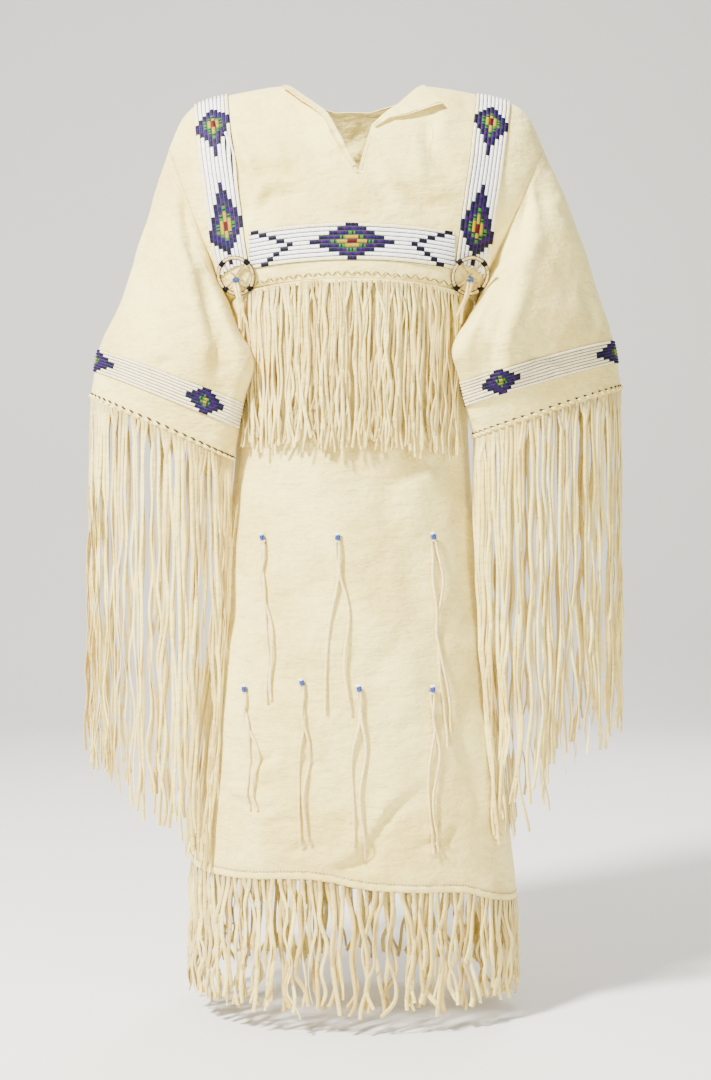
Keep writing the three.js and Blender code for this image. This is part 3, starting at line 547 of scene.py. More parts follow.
def trough(x, z, fold):
    """How far one fold moves the hide, at many places."""
    x0, z0, x1, z1, bow, width, depth = fold
    length = math.hypot(x1 - x0, z1 - z0)
    ux, uz = (x1 - x0) / length, (z1 - z0) / length
    along = ((x - x0) * ux + (z - z0) * uz) / length
    off = (x - x0) * -uz + (z - z0) * ux - bow * 4 * along * (1 - along)
    off = off + 1.6 * np.sin(along * 9 + x0)
    fade = np.sqrt(np.clip(np.sin(np.pi * np.clip(along * 0.9 + 0.05, 0, 1)), 0, 1))
    fade = fade * np.clip(1.2 - np.abs(along - 0.5), 0, 1) * ((along > -0.06) & (along < 1.06))
    wide = width * (1 + 0.25 * np.sin(along * 7 + z0))
    dip = np.exp(-((off / wide) ** 2))
    ridge = np.exp(-(((off - 1.9 * wide) / (1.3 * wide)) ** 2))
    return FOLD_STRENGTH * depth * fade * (dip - 0.55 * ridge)


def waves(u, v, seed, size=1.0):
    """Slow uneven swells over the hide and a finer ripple in them."""
    source = random.Random(seed)
    total = np.zeros(np.broadcast(u, v).shape)
    for length, height in ((170, 0.9), (110, 0.7), (64, 0.4), (37, 0.2), (22, 0.1)):
        for _ in range(3):
            turn, phase = source.uniform(0, math.pi), source.uniform(0, 6.3)
            stretch = length * source.uniform(0.8, 1.25) / (2 * math.pi)
            along = u * math.cos(turn) + v * math.sin(turn)
            total += height * 0.5 * np.sin(along / stretch + phase)
    return total * size


def folded(x, z, folds, seed, size=1.0):
    total = waves(x, z, seed, size)
    for fold in folds:
        total += trough(x, z, fold)
    return total


print("folds:", len(FRONT_FOLDS) + len(BACK_FOLDS), "on the body")

# %% [markdown]
# ## Places on the finished hide
#
# Everything that is sewn on follows the folds. These functions give a place on the folded
# yoke, skirt or sleeve and the way out of it there, so a band, a stitch or a fringe can be
# laid at a small height above the hide. The folds die out towards the seams.


# %% Places on the hide
def ease(value):
    value = np.clip(value, 0, 1)
    return value * value * (3 - 2 * value)


def lift_by(points, outward, height):
    return points + outward * np.asarray(height, float)[..., None]


def body_folds(points, facing):
    """How far the hide stands off its plain form on the front or on the back."""
    folds, seed = (FRONT_FOLDS, 5) if facing < 0 else (BACK_FOLDS, 6)
    return folded(points[..., 0], points[..., 2], folds, seed)


def on_yoke(across, up, facing, lift=0.0):
    points = yoke_point(across, up, facing)
    outward = yoke_outward(across, np.minimum(up, 0.996), facing)
    keep = ease((1 - np.abs(across)) * 13) * ease((1 - np.asarray(up)) / 0.05)
    return lift_by(points, outward, body_folds(points, facing) * keep + lift), outward


def on_chest(x, z, lift=0.0):
    return on_yoke(*yoke_place(x, z), -1, lift)


def on_skirt(angle, z, facing, lift=0.0):
    points = skirt_point(angle, z, facing)
    outward = skirt_outward(points)
    height = body_folds(points, facing) * ease(np.cos(angle) / 0.12)
    return lift_by(points, outward, height + lift), outward


def on_skirt_front(x, z, lift=0.0):
    share = np.clip(x / skirt_width(z), -1, 1)
    angle = np.arcsin(signed_power(share, BODY_POWER / 2))
    return on_skirt(angle, z, -1, lift)


def on_sleeve(side, along, angle, lift=0.0):
    points = sleeve_point(side, along, angle)
    outward = sleeve_outward(side, along, angle)
    x, z = np.abs(points[..., 0]) - (RIGHT_SHIFT if side == "right" else 0), points[..., 2]
    front, back = (np.clip(way * np.sin(np.radians(angle)) / 0.3, 0, 1) for way in (1, -1))
    height = front * folded(x, z, SLEEVE_FRONT_FOLDS, 8 + SIGN[side], 1.1)
    height = height + back * folded(x, z, SLEEVE_BACK_FOLDS, 12 + SIGN[side], 1.1)
    return lift_by(points, outward, height * ease(np.asarray(along) / 0.07) + lift), outward


# %% [markdown]
# ## Making meshes
#
# A panel is a closed shell: a grid of outer points, the same grid moved in by the hide's
# thickness, and a rim. Sheets are always made outside first, so their faces look outwards.


# %% Mesh helpers
FIELDS = {1: ("FLOAT", "value"), 3: ("FLOAT_VECTOR", "vector"), 4: ("FLOAT_COLOR", "color")}


def store(mesh, layers):
    """Keeps each named list of values on the mesh's points."""
    for key, values in layers.items():
        values = np.asarray(values, np.float32)
        kind, field = FIELDS[values.shape[1] if values.ndim == 2 else 1]
        mesh.attributes.new(key, kind, "POINT").data.foreach_set(field, values.ravel())


def bare_piece(name, points, edges, faces, layers):
    """points in millimetres. layers holds values for each point, by name."""
    mesh = bpy.data.meshes.new(name)
    mesh.from_pydata((np.asarray(points) * MM).tolist(), edges, faces)
    store(mesh, layers)
    return linked(name, mesh)


def new_piece(name, points, faces, material, layers=None, sharp=50):
    """A smooth surface with one material; edges steeper than sharp degrees stay hard."""
    piece = bare_piece(name, points, [], [list(f) for f in faces], layers or {})
    piece.data.materials.append(material)
    piece.data.update()
    piece.data.shade_smooth()
    piece.data.set_sharp_from_angle(angle=math.radians(sharp))
    return piece


def grid_faces(rows, columns, start=0, wraps=False, turned=False):
    across = columns if wraps else columns - 1
    j, i = np.meshgrid(np.arange(rows - 1), np.arange(across), indexing="ij")
    after = (i + 1) % columns
    here, above = j * columns, (j + 1) * columns
    corners = [here + i, here + after, above + after, above + i]
    faces = np.stack([c.ravel() for c in corners], axis=1) + start
    return faces[:, ::-1] if turned else faces


def shell(name, outer, inward, material, thickness=HIDE, wraps=False, **layers):
    """A closed wall. outer is a grid whose rows go up and whose columns go to the right,
    seen from outside; inward gives each point's way in."""
    rows, columns = outer.shape[:2]
    points = np.concatenate([outer.reshape(-1, 3), (outer + inward * thickness).reshape(-1, 3)])
    count = rows * columns
    faces = [grid_faces(rows, columns, 0, wraps), grid_faces(rows, columns, count, wraps, True)]

    def rim(edge, turned):
        edge = np.asarray(edge)
        quad = np.column_stack([edge[:-1], edge[1:], edge[1:] + count, edge[:-1] + count])
        faces.append(quad if turned else quad[:, ::-1])

    low = list(range(columns)) + ([0] if wraps else [])
    rim(low, False)
    rim([(rows - 1) * columns + i for i in low], True)
    if not wraps:
        left = [j * columns for j in range(rows)]
        rim(left, True)
        rim([i + columns - 1 for i in left], False)
    doubled = {key: np.tile(values.ravel(), 2) for key, values in layers.items()}
    return new_piece(name, points, np.concatenate(faces), material, doubled)


def facing_shell(name, facing, outer, outward, material, thickness=HIDE, **layers):
    """A wall on the front or back from a grid whose columns run towards +X."""
    order = slice(None) if facing < 0 else slice(None, None, -1)
    layers = {key: values[:, order] for key, values in layers.items()}
    return shell(name, outer[:, order], -outward[:, order], material, thickness, **layers)


def settle(piece, slot, *nodes):
    """The piece rides on the body and stands for its plain solids."""
    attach(piece, "root")
    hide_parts(*nodes)
    return piece


def triangles(piece):
    return sum(len(p.vertices) - 2 for p in piece.data.polygons)


# %% [markdown]
# ## Soft tanned hide
#
# Brain-tanned hide is pale, dull and a little uneven: clouds of a warmer cream, a nap as fine
# as suede, scattered pores and faint scratches, and slightly grubbier edges. The colour comes
# from slow noise, the nap from fine noise, and both also drive the bump.


# %% Hide materials
def hide_material(name, pale, warm, strands=False):
    shader = Shader(name, 0.88, Sheen_Weight=0.25, Sheen_Roughness=0.6, Specular_IOR_Level=0.25)
    clouds = shader.noise(9, 3, rough=0.55).step(0.36, 0.68)
    nap = shader.noise(900, 2, rough=0.6)
    mottle = shader.noise(140, 4, rough=0.65)
    speck = shader.noise(420, 1).step(0.66, 0.74)
    base = shader.mix(clouds * 0.6 + (mottle - 0.5) * 1.1, linear(pale), linear(warm))
    base = shader.mix(speck * 0.14, base, linear("#b0944e"))
    if strands:
        # each strand's own tan varies at random; the under layers are pushed darker as painted
        # shade in the gaps between strands
        tone = shader.read("tone")
        base = shader.mix(tone.step(0.3, 1.05) * 0.8, base, linear("#c9a955"))
        # painted shade: strands darken towards their roots, under what they hang from
        base = shader.mix(shader.read("depth") * 0.65, base, linear("#856a34"))
    else:
        base = shader.mix(shader.read("edge") * 0.25, base, linear("#b09448"))
    shader.colour(base)
    shader.rough((nap * 0.16 + 0.78).clamped(0.7, 0.97))
    scratch = shader.noise(70, 3, shader.stretched(1.0, 1.0, 0.22), 0.6)
    height = nap * 0.35 + mottle * 0.5 + scratch * 0.35
    crumple = shader.noise(44, 5, shader.stretched(0.6, 0.6, 1.5), 0.6)
    first = shader.bump(shader.noise(30, 3, rough=0.5) * 0.6 + crumple, 0.0075, 0.7)
    shader.bump(height, 0.0022, 0.7, first)
    return shader.material


HIDE_LOOK = hide_material("soft_hide", "#fbea8e", "#dfc15a")
FRINGE_LOOK = hide_material("cut_hide", "#fbe98c", "#e8cb64", strands=True)
print("hide materials:", HIDE_LOOK.name, FRINGE_LOOK.name)

# %% [markdown]
# ## Yoke panels
#
# The yoke is one front and one back, closed over the shoulders. Its columns run up to the
# shoulder's crest, or to the cut edge of the neck where the slit opens.


# %% Yoke panels
def neck_top(table, across):
    """How far up a column goes before the neck's edge: straight between the rows."""
    inside = (across > table["across"][0]) & (across < table["across"][-1])
    return np.where(inside, np.interp(across, table["across"], table["up"]), 1.0)


def yoke_columns(table, side_count, neck_count):
    rows = table["across"]
    side = np.linspace(1, 0, side_count, endpoint=False) ** 0.85  # closer at the armholes
    left, right = (end + (1 - end) * side for end in (-rows[0], rows[-1]))
    neck = [np.linspace(a, b, neck_count, endpoint=False) for a, b in zip(rows, rows[1:])]
    return np.concatenate([-left, *neck, [rows[-1]], right[::-1]])


def yoke_panel(name, facing, table, rows, side_count, neck_count):
    columns = yoke_columns(table, side_count, neck_count)
    top = neck_top(table, columns)
    share = 1 - (1 - np.linspace(0, 1, rows)) ** 1.35
    up = share[:, None] * top[None, :]
    across = np.broadcast_to(columns, up.shape)
    points, outward = on_yoke(across, up, facing)
    inward = -outward
    inward[0] = -skirt_outward(points[0])
    crest = up > 0.999
    inward[crest, 1] = 0
    inward[crest] = unit(inward[crest])
    points[crest, 1] = facing * SEAM_GAP / 2
    for column in (0, -1):
        middle = np.array([np.sign(columns[column]) * 200, 0, ARMHOLE_Z])
        inward[:, column] = unit(middle - points[:, column])
    edge = np.maximum(ease(1 - (top - up) / 0.05) * (top < 0.999), ease(1 - up / 0.05) * 0.7)
    return facing_shell(name, facing, points, -inward, HIDE_LOOK, edge=edge)


front_yoke = yoke_panel("dressed_front_yoke", -1, FRONT_NECK, 76, 44, 9)
back_yoke = yoke_panel("dressed_back_yoke", 1, BACK_NECK, 60, 36, 9)
settle(front_yoke, "hide", "front_yoke")
settle(back_yoke, "hide", "back_yoke")
print("yoke panels:", triangles(front_yoke), triangles(back_yoke))

# %% [markdown]
# ## Skirt panels
#
# Front and back hang from the waist seam. The lower edge follows the hem, which drops
# towards the right, and the fringe's own band is sewn just under it.


# %% Skirt panels
def hem_top(angle):
    """Where the skirt's own hide ends, at the top of the hem's band."""
    share = signed_power(np.sin(angle), 2 / BODY_POWER)
    return hem_z(share * skirt_width(HEM_LEVEL)) + HEM_BAND


def skirt_panel(name, facing, rows, columns):
    angle = np.linspace(-0.5, 0.5, columns) * math.pi
    share = signed_power(np.sin(angle), 2 / BODY_POWER)
    up = np.linspace(0, 1, rows)[:, None]
    z = blend(hem_top(angle), seam_z(share) - SEAM_GAP, up)
    points, outward = on_skirt(np.broadcast_to(angle, z.shape), z, facing)
    edge = np.maximum(ease(1 - up * 45), ease(1 - (1 - up) * 60) * 0.7) * np.ones(z.shape)
    return facing_shell(name, facing, points, outward, HIDE_LOOK, edge=edge)


front_skirt = settle(skirt_panel("dressed_front_skirt", -1, 190, 120), "hide", "front_skirt")
back_skirt = settle(skirt_panel("dressed_back_skirt", 1, 150, 96), "hide", "back_skirt")
print("skirt panels:", triangles(front_skirt), triangles(back_skirt))

# %% [markdown]
# ## Sleeves
#
# Each sleeve is a wide tube sewn into the armhole, with a seam under the arm. The long folds
# that fall from the armhole are its main shape, so they are listed like the rest.


# %% Sleeves
def sleeve_panel(side, rows, columns):
    along = np.linspace(1, 0, rows)[:, None]
    angle = (SIGN[side] * -360.0 * np.arange(columns) / columns) % 360
    along, angle = np.broadcast_arrays(along, angle[None, :])
    points, outward = on_sleeve(side, along, angle)
    inward = -outward
    armhole = np.array([SIGN[side] * (UNDERARM + SHOULDER_END[side]) / 2, 0, ARMHOLE_Z])
    inward[-1] = unit(armhole - points[-1])
    points[-1] += np.array([SIGN[side] * 0.28, 0, -0.1])  # just clear of the yoke
    edge = np.maximum(ease(1 - (1 - along) * 30), ease(1 - along * 30) * 0.5)
    edge = np.maximum(edge, ease(1 - np.abs(angle - 180) / 3.0) * 0.6 * (along < 1.1))
    return shell(f"dressed_{side}_sleeve", points, inward, HIDE_LOOK, wraps=True, edge=edge)


sleeves = {}
for side in SIGN:
    halves = (f"{side}_sleeve_front", f"{side}_sleeve_back")
    sleeves[side] = settle(sleeve_panel(side, 92, 144), "hide", *halves)
print("sleeves:", triangles(sleeves["left"]), "each")

# %% [markdown]
# ## Repeats made with Geometry Nodes
#
# Stitches, quill wraps and fringe strands are each one small thing repeated many times. The
# script works out where every one goes and stores that on the points of a bare mesh; a node
# tree then puts the small thing there. `Tree` is a short way to write such a tree.


# %% Geometry Nodes helpers
class Tree(Maker):
    """A geometry node group being made, with named inputs."""

    def __init__(self, name, **inputs):
        self.graph = bpy.data.node_groups.new(name, "GeometryNodeTree")
        face = self.graph.interface
        face.new_socket("Geometry", in_out="INPUT", socket_type="NodeSocketGeometry")
        face.new_socket("Geometry", in_out="OUTPUT", socket_type="NodeSocketGeometry")
        for key, value in inputs.items():
            kind = "NodeSocketMaterial" if value is None else "NodeSocketFloat"
            kind = "NodeSocketInt" if isinstance(value, int) else kind
            face.new_socket(key, in_out="INPUT", socket_type=kind)
        self.inputs = self.graph.nodes.new("NodeGroupInput").outputs
        self.output = self.graph.nodes.new("NodeGroupOutput").inputs[0]

    def node(self, kind, settings, inputs):
        return super().node(kind, settings, inputs).outputs[0]

    def named(self, name, kind="FLOAT_VECTOR"):
        settings = {"data_type": kind}
        return self.node("GeometryNodeInputNamedAttribute", settings, {"Name": name})

    def maths(self, kind, first, second=0.0):
        return self.node("ShaderNodeMath", {"operation": kind}, {0: first, 1: second})


def grown(piece, tree, name, values):
    """Runs the tree on a piece and keeps the result as a plain mesh."""
    modifier = piece.modifiers.new(name, "NODES")
    modifier.node_group = tree.graph
    for item in tree.graph.interface.items_tree:
        if item.in_out == "INPUT" and item.name in values:
            modifier[item.identifier] = values[item.name]
    layer = bpy.context.evaluated_depsgraph_get()
    mesh = bpy.data.meshes.new_from_object(piece.evaluated_get(layer))
    piece.modifiers.clear()
    old, piece.data = piece.data, mesh
    bpy.data.meshes.remove(old)
    return piece


# %% [markdown]
# ## One tree for stitches and quill wraps
#
# Each point carries three vectors: how far the small thing reaches along its own length,
# across, and outwards. `Axes to Rotation` turns it and the lengths scale it. The small thing
# is a whole flattened bead for a stitch, and a low bar, rounded on top and open underneath,
# for a quill turn.


# %% The tree for small repeats
def dome(tree):
    """A smooth bead, for stitches and knots."""
    inputs = {"Segments": tree.inputs["Sides"], "Rings": tree.inputs["Rings"], "Radius": 1.0}
    return tree.node("GeometryNodeMeshUVSphere", {}, inputs)


def wrap(tree):
    """One flattened quill's turn: a low bar, rounded along and across."""
    sizes = {"Size X": 2.0, "Size Y": 2.0, "Vertices X": 3, "Vertices Y": 5}
    flat = tree.node("GeometryNodeMeshGrid", {}, sizes)
    place = tree.node("GeometryNodeInputPosition", {}, {})
    split = tree.graph.nodes.new("ShaderNodeSeparateXYZ")
    tree.put(split.inputs[0], place)
    x, y = (tree.maths("ABSOLUTE", split.outputs[k]) for k in (0, 1))
    fall = tree.maths("MULTIPLY", tree.maths("POWER", x, 2.0), 0.42)
    drop = tree.maths("POWER", y, 4.0)
    left = tree.maths("SUBTRACT", 1.0, fall)
    height = tree.maths("MULTIPLY", left, tree.maths("SUBTRACT", 1.0, drop))
    raised = tree.node("ShaderNodeCombineXYZ", {}, {2: height})
    return tree.node("GeometryNodeSetPosition", {}, {"Geometry": flat, "Offset": raised})


def repeat_tree(name, shape):
    tree = Tree(name, Sides=8, Rings=3, Look=None)
    turn = tree.node(
        "FunctionNodeAxesToRotation",
        {"primary_axis": "Z", "secondary_axis": "X"},
        {"Primary Axis": tree.named("outward"), "Secondary Axis": tree.named("along")},
    )
    dots = tree.node("GeometryNodeMeshToPoints", {}, {"Mesh": tree.inputs["Geometry"]})
    inputs = {"Points": dots, "Instance": shape(tree), "Rotation": turn}
    inputs["Scale"] = tree.named("size")
    placed = tree.node("GeometryNodeInstanceOnPoints", {}, inputs)
    real = tree.node("GeometryNodeRealizeInstances", {}, {"Geometry": placed})
    smooth = tree.node("GeometryNodeSetShadeSmooth", {}, {"Geometry": real, "Shade Smooth": True})
    inputs = {"Geometry": smooth, "Material": tree.inputs["Look"]}
    tree.put(tree.output, tree.node("GeometryNodeSetMaterial", {}, inputs))
    return tree


STITCHES = repeat_tree("stitches", dome)
WRAPS = repeat_tree("quill_wraps", wrap)


def repeats(name, places, along, outward, size, look, tree=None, sides=8, rings=3, **layers):
    """places in millimetres; size holds half lengths along, across and outwards."""
    places = np.asarray(places, float).reshape(-1, 3)
    vectors = {"along": along, "outward": outward, "size": np.asarray(size, float) * MM}
    vectors = {key: np.broadcast_to(v, places.shape) for key, v in vectors.items()}
    piece = bare_piece(name, places, [], [], {**vectors, **layers})
    values = {"Sides": sides, "Rings": rings, "Look": look}
    return grown(piece, tree or STITCHES, "repeats", values)


# %% [markdown]
# ## Fringe
#
# A fringe is one strip of hide cut into strands. No two hang alike: each drifts to a side,
# waves, turns on itself a little and narrows to its cut end. The script lays a centre line
# for every strand, with the way it faces, its width, a random tone that is pushed darker on
# the under layers as painted shade, and painted shade near the root; the tree makes each line
# a flat ribbon, turns it by noise and gives it the hide's thickness.


# %% The tree for strands
def strand_tree():
    tree = Tree("cut_strands", Flatness=0.26, Twist=1.0, Seed=3.0, Look=None)
    line = tree.node("GeometryNodeMeshToCurve", {}, {"Mesh": tree.inputs["Geometry"]})
    faced = tree.node(
        "GeometryNodeSetCurveNormal",
        {"mode": "FREE"},
        {"Curve": line, "Normal": tree.named("outward")},
    )
    drift = tree.node(
        "ShaderNodeTexNoise",
        {"noise_dimensions": "4D"},
        {"Scale": 9.0, "Detail": 1.0, "W": tree.inputs["Seed"]},
    )
    turn = tree.maths("MULTIPLY", tree.maths("SUBTRACT", drift, 0.5), tree.inputs["Twist"])
    turn = tree.maths("MULTIPLY", turn, tree.named("loose", "FLOAT"))
    tilted = tree.node("GeometryNodeSetCurveTilt", {}, {"Curve": faced, "Tilt": turn})
    section = tree.node(
        "GeometryNodeCurvePrimitiveQuadrilateral",
        {},
        {"Width": tree.inputs["Flatness"], "Height": 1.0},
    )
    ribbon = tree.node(
        "GeometryNodeCurveToMesh",
        {},
        {
            "Curve": tilted,
            "Profile Curve": section,
            "Scale": tree.named("width", "FLOAT"),
            "Fill Caps": True,
        },
    )
    looked = tree.node(
        "GeometryNodeSetMaterial", {}, {"Geometry": ribbon, "Material": tree.inputs["Look"]}
    )
    real = tree.node("GeometryNodeRealizeInstances", {}, {"Geometry": looked})
    tree.put(tree.output, real)
    return tree


STRANDS = strand_tree()
DOWN = np.array([0.0, 0.0, -1.0])


def clumps(places, seed, size, pull):
    """How far each strand drifts towards the lock that it hangs in."""
    source = random.Random(seed)
    edges, at = [], places.min() - size / 2
    while at < places.max() + size:
        edges.append(at + source.uniform(-0.3, 0.3) * size)
        at += size * source.uniform(0.7, 1.4)
    middles = np.array(edges)
    nearest = middles[np.abs(places[:, None] - middles[None, :]).argmin(axis=1)]
    return (nearest - places) * pull


def ribbons(name, lines, faces, widths, seed, twist, flat, tone=(0, 1), look=FRINGE_LOOK, root=26):
    """Flat strips along lines. faces gives the way each strip faces at each of its points,
    and root is how far down the strips are shaded by what they hang from."""
    source = np.random.default_rng(seed + 500)
    points, edges = [], []
    layers = {key: [] for key in ("outward", "width", "loose", "tone", "depth")}
    for line, face, width in zip(lines, faces, widths):
        start, rows = len(points), len(line)
        down = path_length(line)
        points.extend(line)
        edges.extend((start + k, start + k + 1) for k in range(rows - 1))
        layers["outward"].extend(np.broadcast_to(face, (rows, 3)))
        layers["width"].extend(np.broadcast_to(width, (rows,)) * MM)
        layers["loose"].extend(ease(down / down[-1] * 4) * source.uniform(0.4, 1.5))
        layers["tone"].extend([source.uniform(*tone)] * rows)
        # painted shade near the root, fading over the first root millimetres
        layers["depth"].extend(ease(1 - down / root) * 0.6)
    piece = bare_piece(name, points, edges, [], layers)
    values = {"Flatness": float(flat), "Twist": float(twist), "Seed": float(seed), "Look": look}
    return grown(piece, STRANDS, "strands", values)


def strands(
    name, roots, outward, length, width, seed, drift, wave, twist,
    curl, flat, splay, keep=None, step=9.0, waves=(90, 230), tone=(0, 1),
):
    """One fringe. roots and outward give each strand's start and the way it faces. All
    lengths are in millimetres; keep may move a finished line."""
    source = np.random.default_rng(seed)
    lines, faces, widths = [], [], []
    for i in range(len(roots)):
        t = np.linspace(0, 1, max(6, int(length[i] / step)))
        level = unit(outward[i] * [1, 1, 0])
        across = np.array([-level[1], level[0], 0])
        span, rock_span = source.uniform(*waves), source.uniform(*waves) * 0.8
        phase, rock_phase = source.uniform(0, 6.3), source.uniform(0, 6.3)
        down = length[i] * t
        sway = np.sin(down / span * 6.28 + phase) - math.sin(phase)
        rock = np.sin(down / rock_span * 6.28 + rock_phase) - math.sin(rock_phase)
        kink = source.normal(0, 1) * wave * 0.8
        kink = kink * np.exp(-(((t - source.uniform(0.3, 0.9)) / 0.09) ** 2))
        strength = source.uniform(0.4, 1.5)
        splayed = source.normal(0, 1) * splay * ease(down / 40)
        side = drift[i] * ease(t * 1.6) + splayed + (wave * strength * sway + kink) * t**0.6
        bend = source.normal(0, 0.7) * curl * (np.clip(t - 0.8, 0, 1) / 0.2) ** 1.5
        away = wave * 0.7 * rock * t**0.6
        line = roots[i] + DOWN * down[:, None] + across * (side + bend)[:, None]
        line = line + level * away[:, None]
        lines.append(keep(line, i) if keep else line)
        faces.append(level)
        widths.append(width[i] * (1 - 0.12 * t + 0.1 * np.sin(down / 23 + phase) * t))
    return ribbons(name, lines, faces, widths, seed, twist, flat, tone)


def together(name, pieces):
    """Several pieces made into one object."""
    with bpy.context.temp_override(active_object=pieces[0], selected_editable_objects=pieces):
        bpy.ops.object.join()
    pieces[0].name = name
    return pieces[0]


# %% [markdown]
# ## Chest fringe
#
# A strip of hide folded double and sewn into the waist seam: two layers of broad strands
# hang over the skirt, over a narrow band that has not been cut.

# %% Chest fringe
CHEST_REACH = 0.82  # of the seam's half width
CHEST_LENGTH = 204


def band_strip(name, facing, outer, outward, thickness):
    """The narrow band that a fringe hangs from."""
    size = outer.shape[:2]
    layers = {"tone": np.full(size, 0.3), "depth": np.zeros(size)}
    return facing_shell(name, facing, outer, outward, FRINGE_LOOK, thickness, **layers)


def waist_line(share, drop, lift):
    """Places on the skirt's front just under the waist seam."""
    share = np.asarray(share, float)
    return on_skirt_front(share * UNDERARM, seam_z(share) - SEAM_GAP - 1 - drop, lift)


def chest_fringe():
    source = np.random.default_rng(41)
    parts = []
    for layer, (count, lift, shorter) in enumerate(((88, 2.0, 6), (80, 5.0, 0))):
        share = np.linspace(-1, 1, count) * (CHEST_REACH - 0.005) + source.normal(0, 0.006, count)
        roots, outward = waist_line(share, 1.5, lift)
        drift = clumps(roots[:, 0], 51 + layer, 20, 0.32) + source.normal(0, 2.6, count)
        long = CHEST_LENGTH - shorter + source.normal(0, 5, count)
        long = long - 26 * np.clip(-share - 0.2, 0, 1)
        keep_lift = lift + source.uniform(0, 3.5, count)

        def keep(line, i):
            reach = ease(np.arange(len(line)) / 5)
            return clear_of_skirt(line, (keep_lift[i] + 1.5) * reach + lift * (1 - reach))

        parts.append(
            strands(
                f"chest_layer_{layer}", roots, outward, long, source.uniform(2.7, 4.9, count),
                seed=61 + layer, drift=drift, wave=2.6, twist=3.6, keep=keep, step=6.5,
                curl=4.0, waves=(60, 150), flat=0.15, splay=4.5,
                # the under layer is darker: painted shade in the gaps between the top strands
                tone=(0.75 - 0.75 * layer, 1.1 - 0.3 * layer),
            )
        )
    share = np.linspace(-CHEST_REACH, CHEST_REACH, 90)
    drop = np.array([5.0, 3.4, 1.7, 0.0])[:, None]
    outer, outward = waist_line(share[None, :] + 0 * drop, drop + 0 * share[None, :], 5.4)
    parts.append(band_strip("chest_backing", -1, outer, outward, 4.0))
    return together("dressed_chest_fringe", parts)


print("chest fringe:", triangles(settle(chest_fringe(), "fringe_hide", "chest_fringe")))

# %% [markdown]
# ## Sleeve fringes
#
# The strands run all round each cuff. They are long, narrow and springy, so they part into
# locks; those nearest the body lie against the skirt.

# %% Sleeve fringes
SLEEVE_FRINGE = {"left": 475, "right": 435}  # the shortest, at the sleeve's outer end
LONGEST = 500


def cuff_place(side, angle, drop, lift):
    """A place below the cuff's edge, the way out of it and the way down."""
    edge, outward = on_sleeve(side, np.ones_like(angle), angle, lift)
    above, _ = on_sleeve(side, np.full_like(angle, 0.97), angle, lift)
    down = unit(edge - above)
    return edge + down * np.asarray(drop, float)[..., None], outward, down


def sleeve_fringe(side):
    source = np.random.default_rng(71 if side == "left" else 72)
    parts = []
    for layer, (start, end, count) in enumerate(((4, 176, 56), (184, 356, 40))):
        angle = np.linspace(start, end, count) + source.normal(0, 0.5, count)
        roots, outward, _ = cuff_place(side, angle, 1.6, -0.6)
        beyond = np.clip((np.abs(roots[:, 0]) - 180) / 120, 0, 1)
        long = blend(LONGEST, SLEEVE_FRINGE[side], beyond) + source.normal(0, 13, count)
        drift = clumps(roots[:, 0], 81 + layer + SIGN[side], 17, 0.55)
        drift = drift + source.normal(0, 2.5, count)
        margin = 5.5 + source.uniform(0, 6, count)

        def keep(line, i):
            return clear_of_skirt(line, margin[i])

        parts.append(
            strands(
                f"{side}_layer_{layer}", roots, outward, long, source.uniform(3.6, 5.6, count),
                seed=91 + layer + SIGN[side], drift=drift, wave=3.2, twist=4.6, keep=keep,
                curl=6.0, flat=0.18, splay=4.0,
            )
        )
    angle = np.linspace(-172, 174, 120) * np.ones((4, 1))
    drop = np.array([3.2, 2.2, 1.2, 0.3])[:, None] * np.ones((1, 120))
    outer, outward, _ = cuff_place(side, angle, drop, -0.2)
    parts.append(band_strip(f"{side}_backing", -SIGN[side], outer, outward, 1.6))
    return together(f"dressed_{side}_sleeve_fringe", parts)


for side in SIGN:
    fringe = settle(sleeve_fringe(side), "fringe_hide", f"{side}_sleeve_fringe")
    print(side, "sleeve fringe:", triangles(fringe))

# %% [markdown]
# ## Hem fringe
#
# A band folded over the skirt's lower edge carries the hem's strands. They are short, so
# they keep the curl of the hide that they were cut from.


# %% Hem fringe
def hem_place(angle, drop, facing, lift):
    """A place on the hem's band, a drop below its top."""
    points, outward = on_skirt(angle, hem_top(angle) - HEM_GAP, facing, lift)
    return points + DOWN * np.asarray(drop, float)[..., None], outward


def hem_fringe(facing, name, counts):
    source = np.random.default_rng(101 + facing)
    parts = []
    for layer, (count, lift) in enumerate(zip(counts, (-1.4, 0.6))):
        edge = math.pi / 2 - 0.03
        angle = np.linspace(-edge, edge, count) + source.normal(0, 0.009, count)
        angle = np.clip(angle, -edge, edge)
        roots, outward = hem_place(angle, HEM_BAND - HEM_GAP - 1.2, facing, lift)
        long = roots[:, 2] - FRINGE_FLOOR + source.normal(-2, 6, count)
        drift = clumps(roots[:, 0], 111 + layer, 22, 0.5) * np.cos(angle)
        drift = (drift + source.normal(0, 3.2, count)) * -facing
        long, wide = np.maximum(long, 60), source.uniform(4.0, 6.4, count)
        parts.append(
            strands(
                f"{name}_{layer}", roots, outward, long, wide,
                seed=121 + layer + facing, drift=drift, wave=4.8, twist=4.4, step=6.0,
                curl=9.0, waves=(60, 150), flat=0.16, splay=4.0,
                # the under layer is darker: painted shade in the gaps between the top strands
                tone=(0.8 - 0.8 * layer, 1.15 - 0.45 * layer),
            )
        )
    angle = np.linspace(-1, 1, 150) * math.pi / 2 * np.ones((5, 1))
    drop = np.array([8.2, 7.4, 4.5, 1.6, 0.0])[:, None] * np.ones((1, 150))
    puff = np.array([-0.3, 0.5, 0.9, 0.6, 0.0])[:, None]
    outer, outward = hem_place(angle, drop, facing, puff + 0.35 * np.sin(angle * 71) * puff)
    parts.append(band_strip(f"{name}_band", facing, outer, outward, 1.8))
    return together(f"dressed_{name}", parts)


hem_rows = ((-1, "hem_fringe_front", (70, 56)), (1, "hem_fringe_back", (58, 42)))
for facing, name, counts in hem_rows:
    fringe = settle(hem_fringe(facing, name, counts), "fringe_hide", name)
    print(name, triangles(fringe))
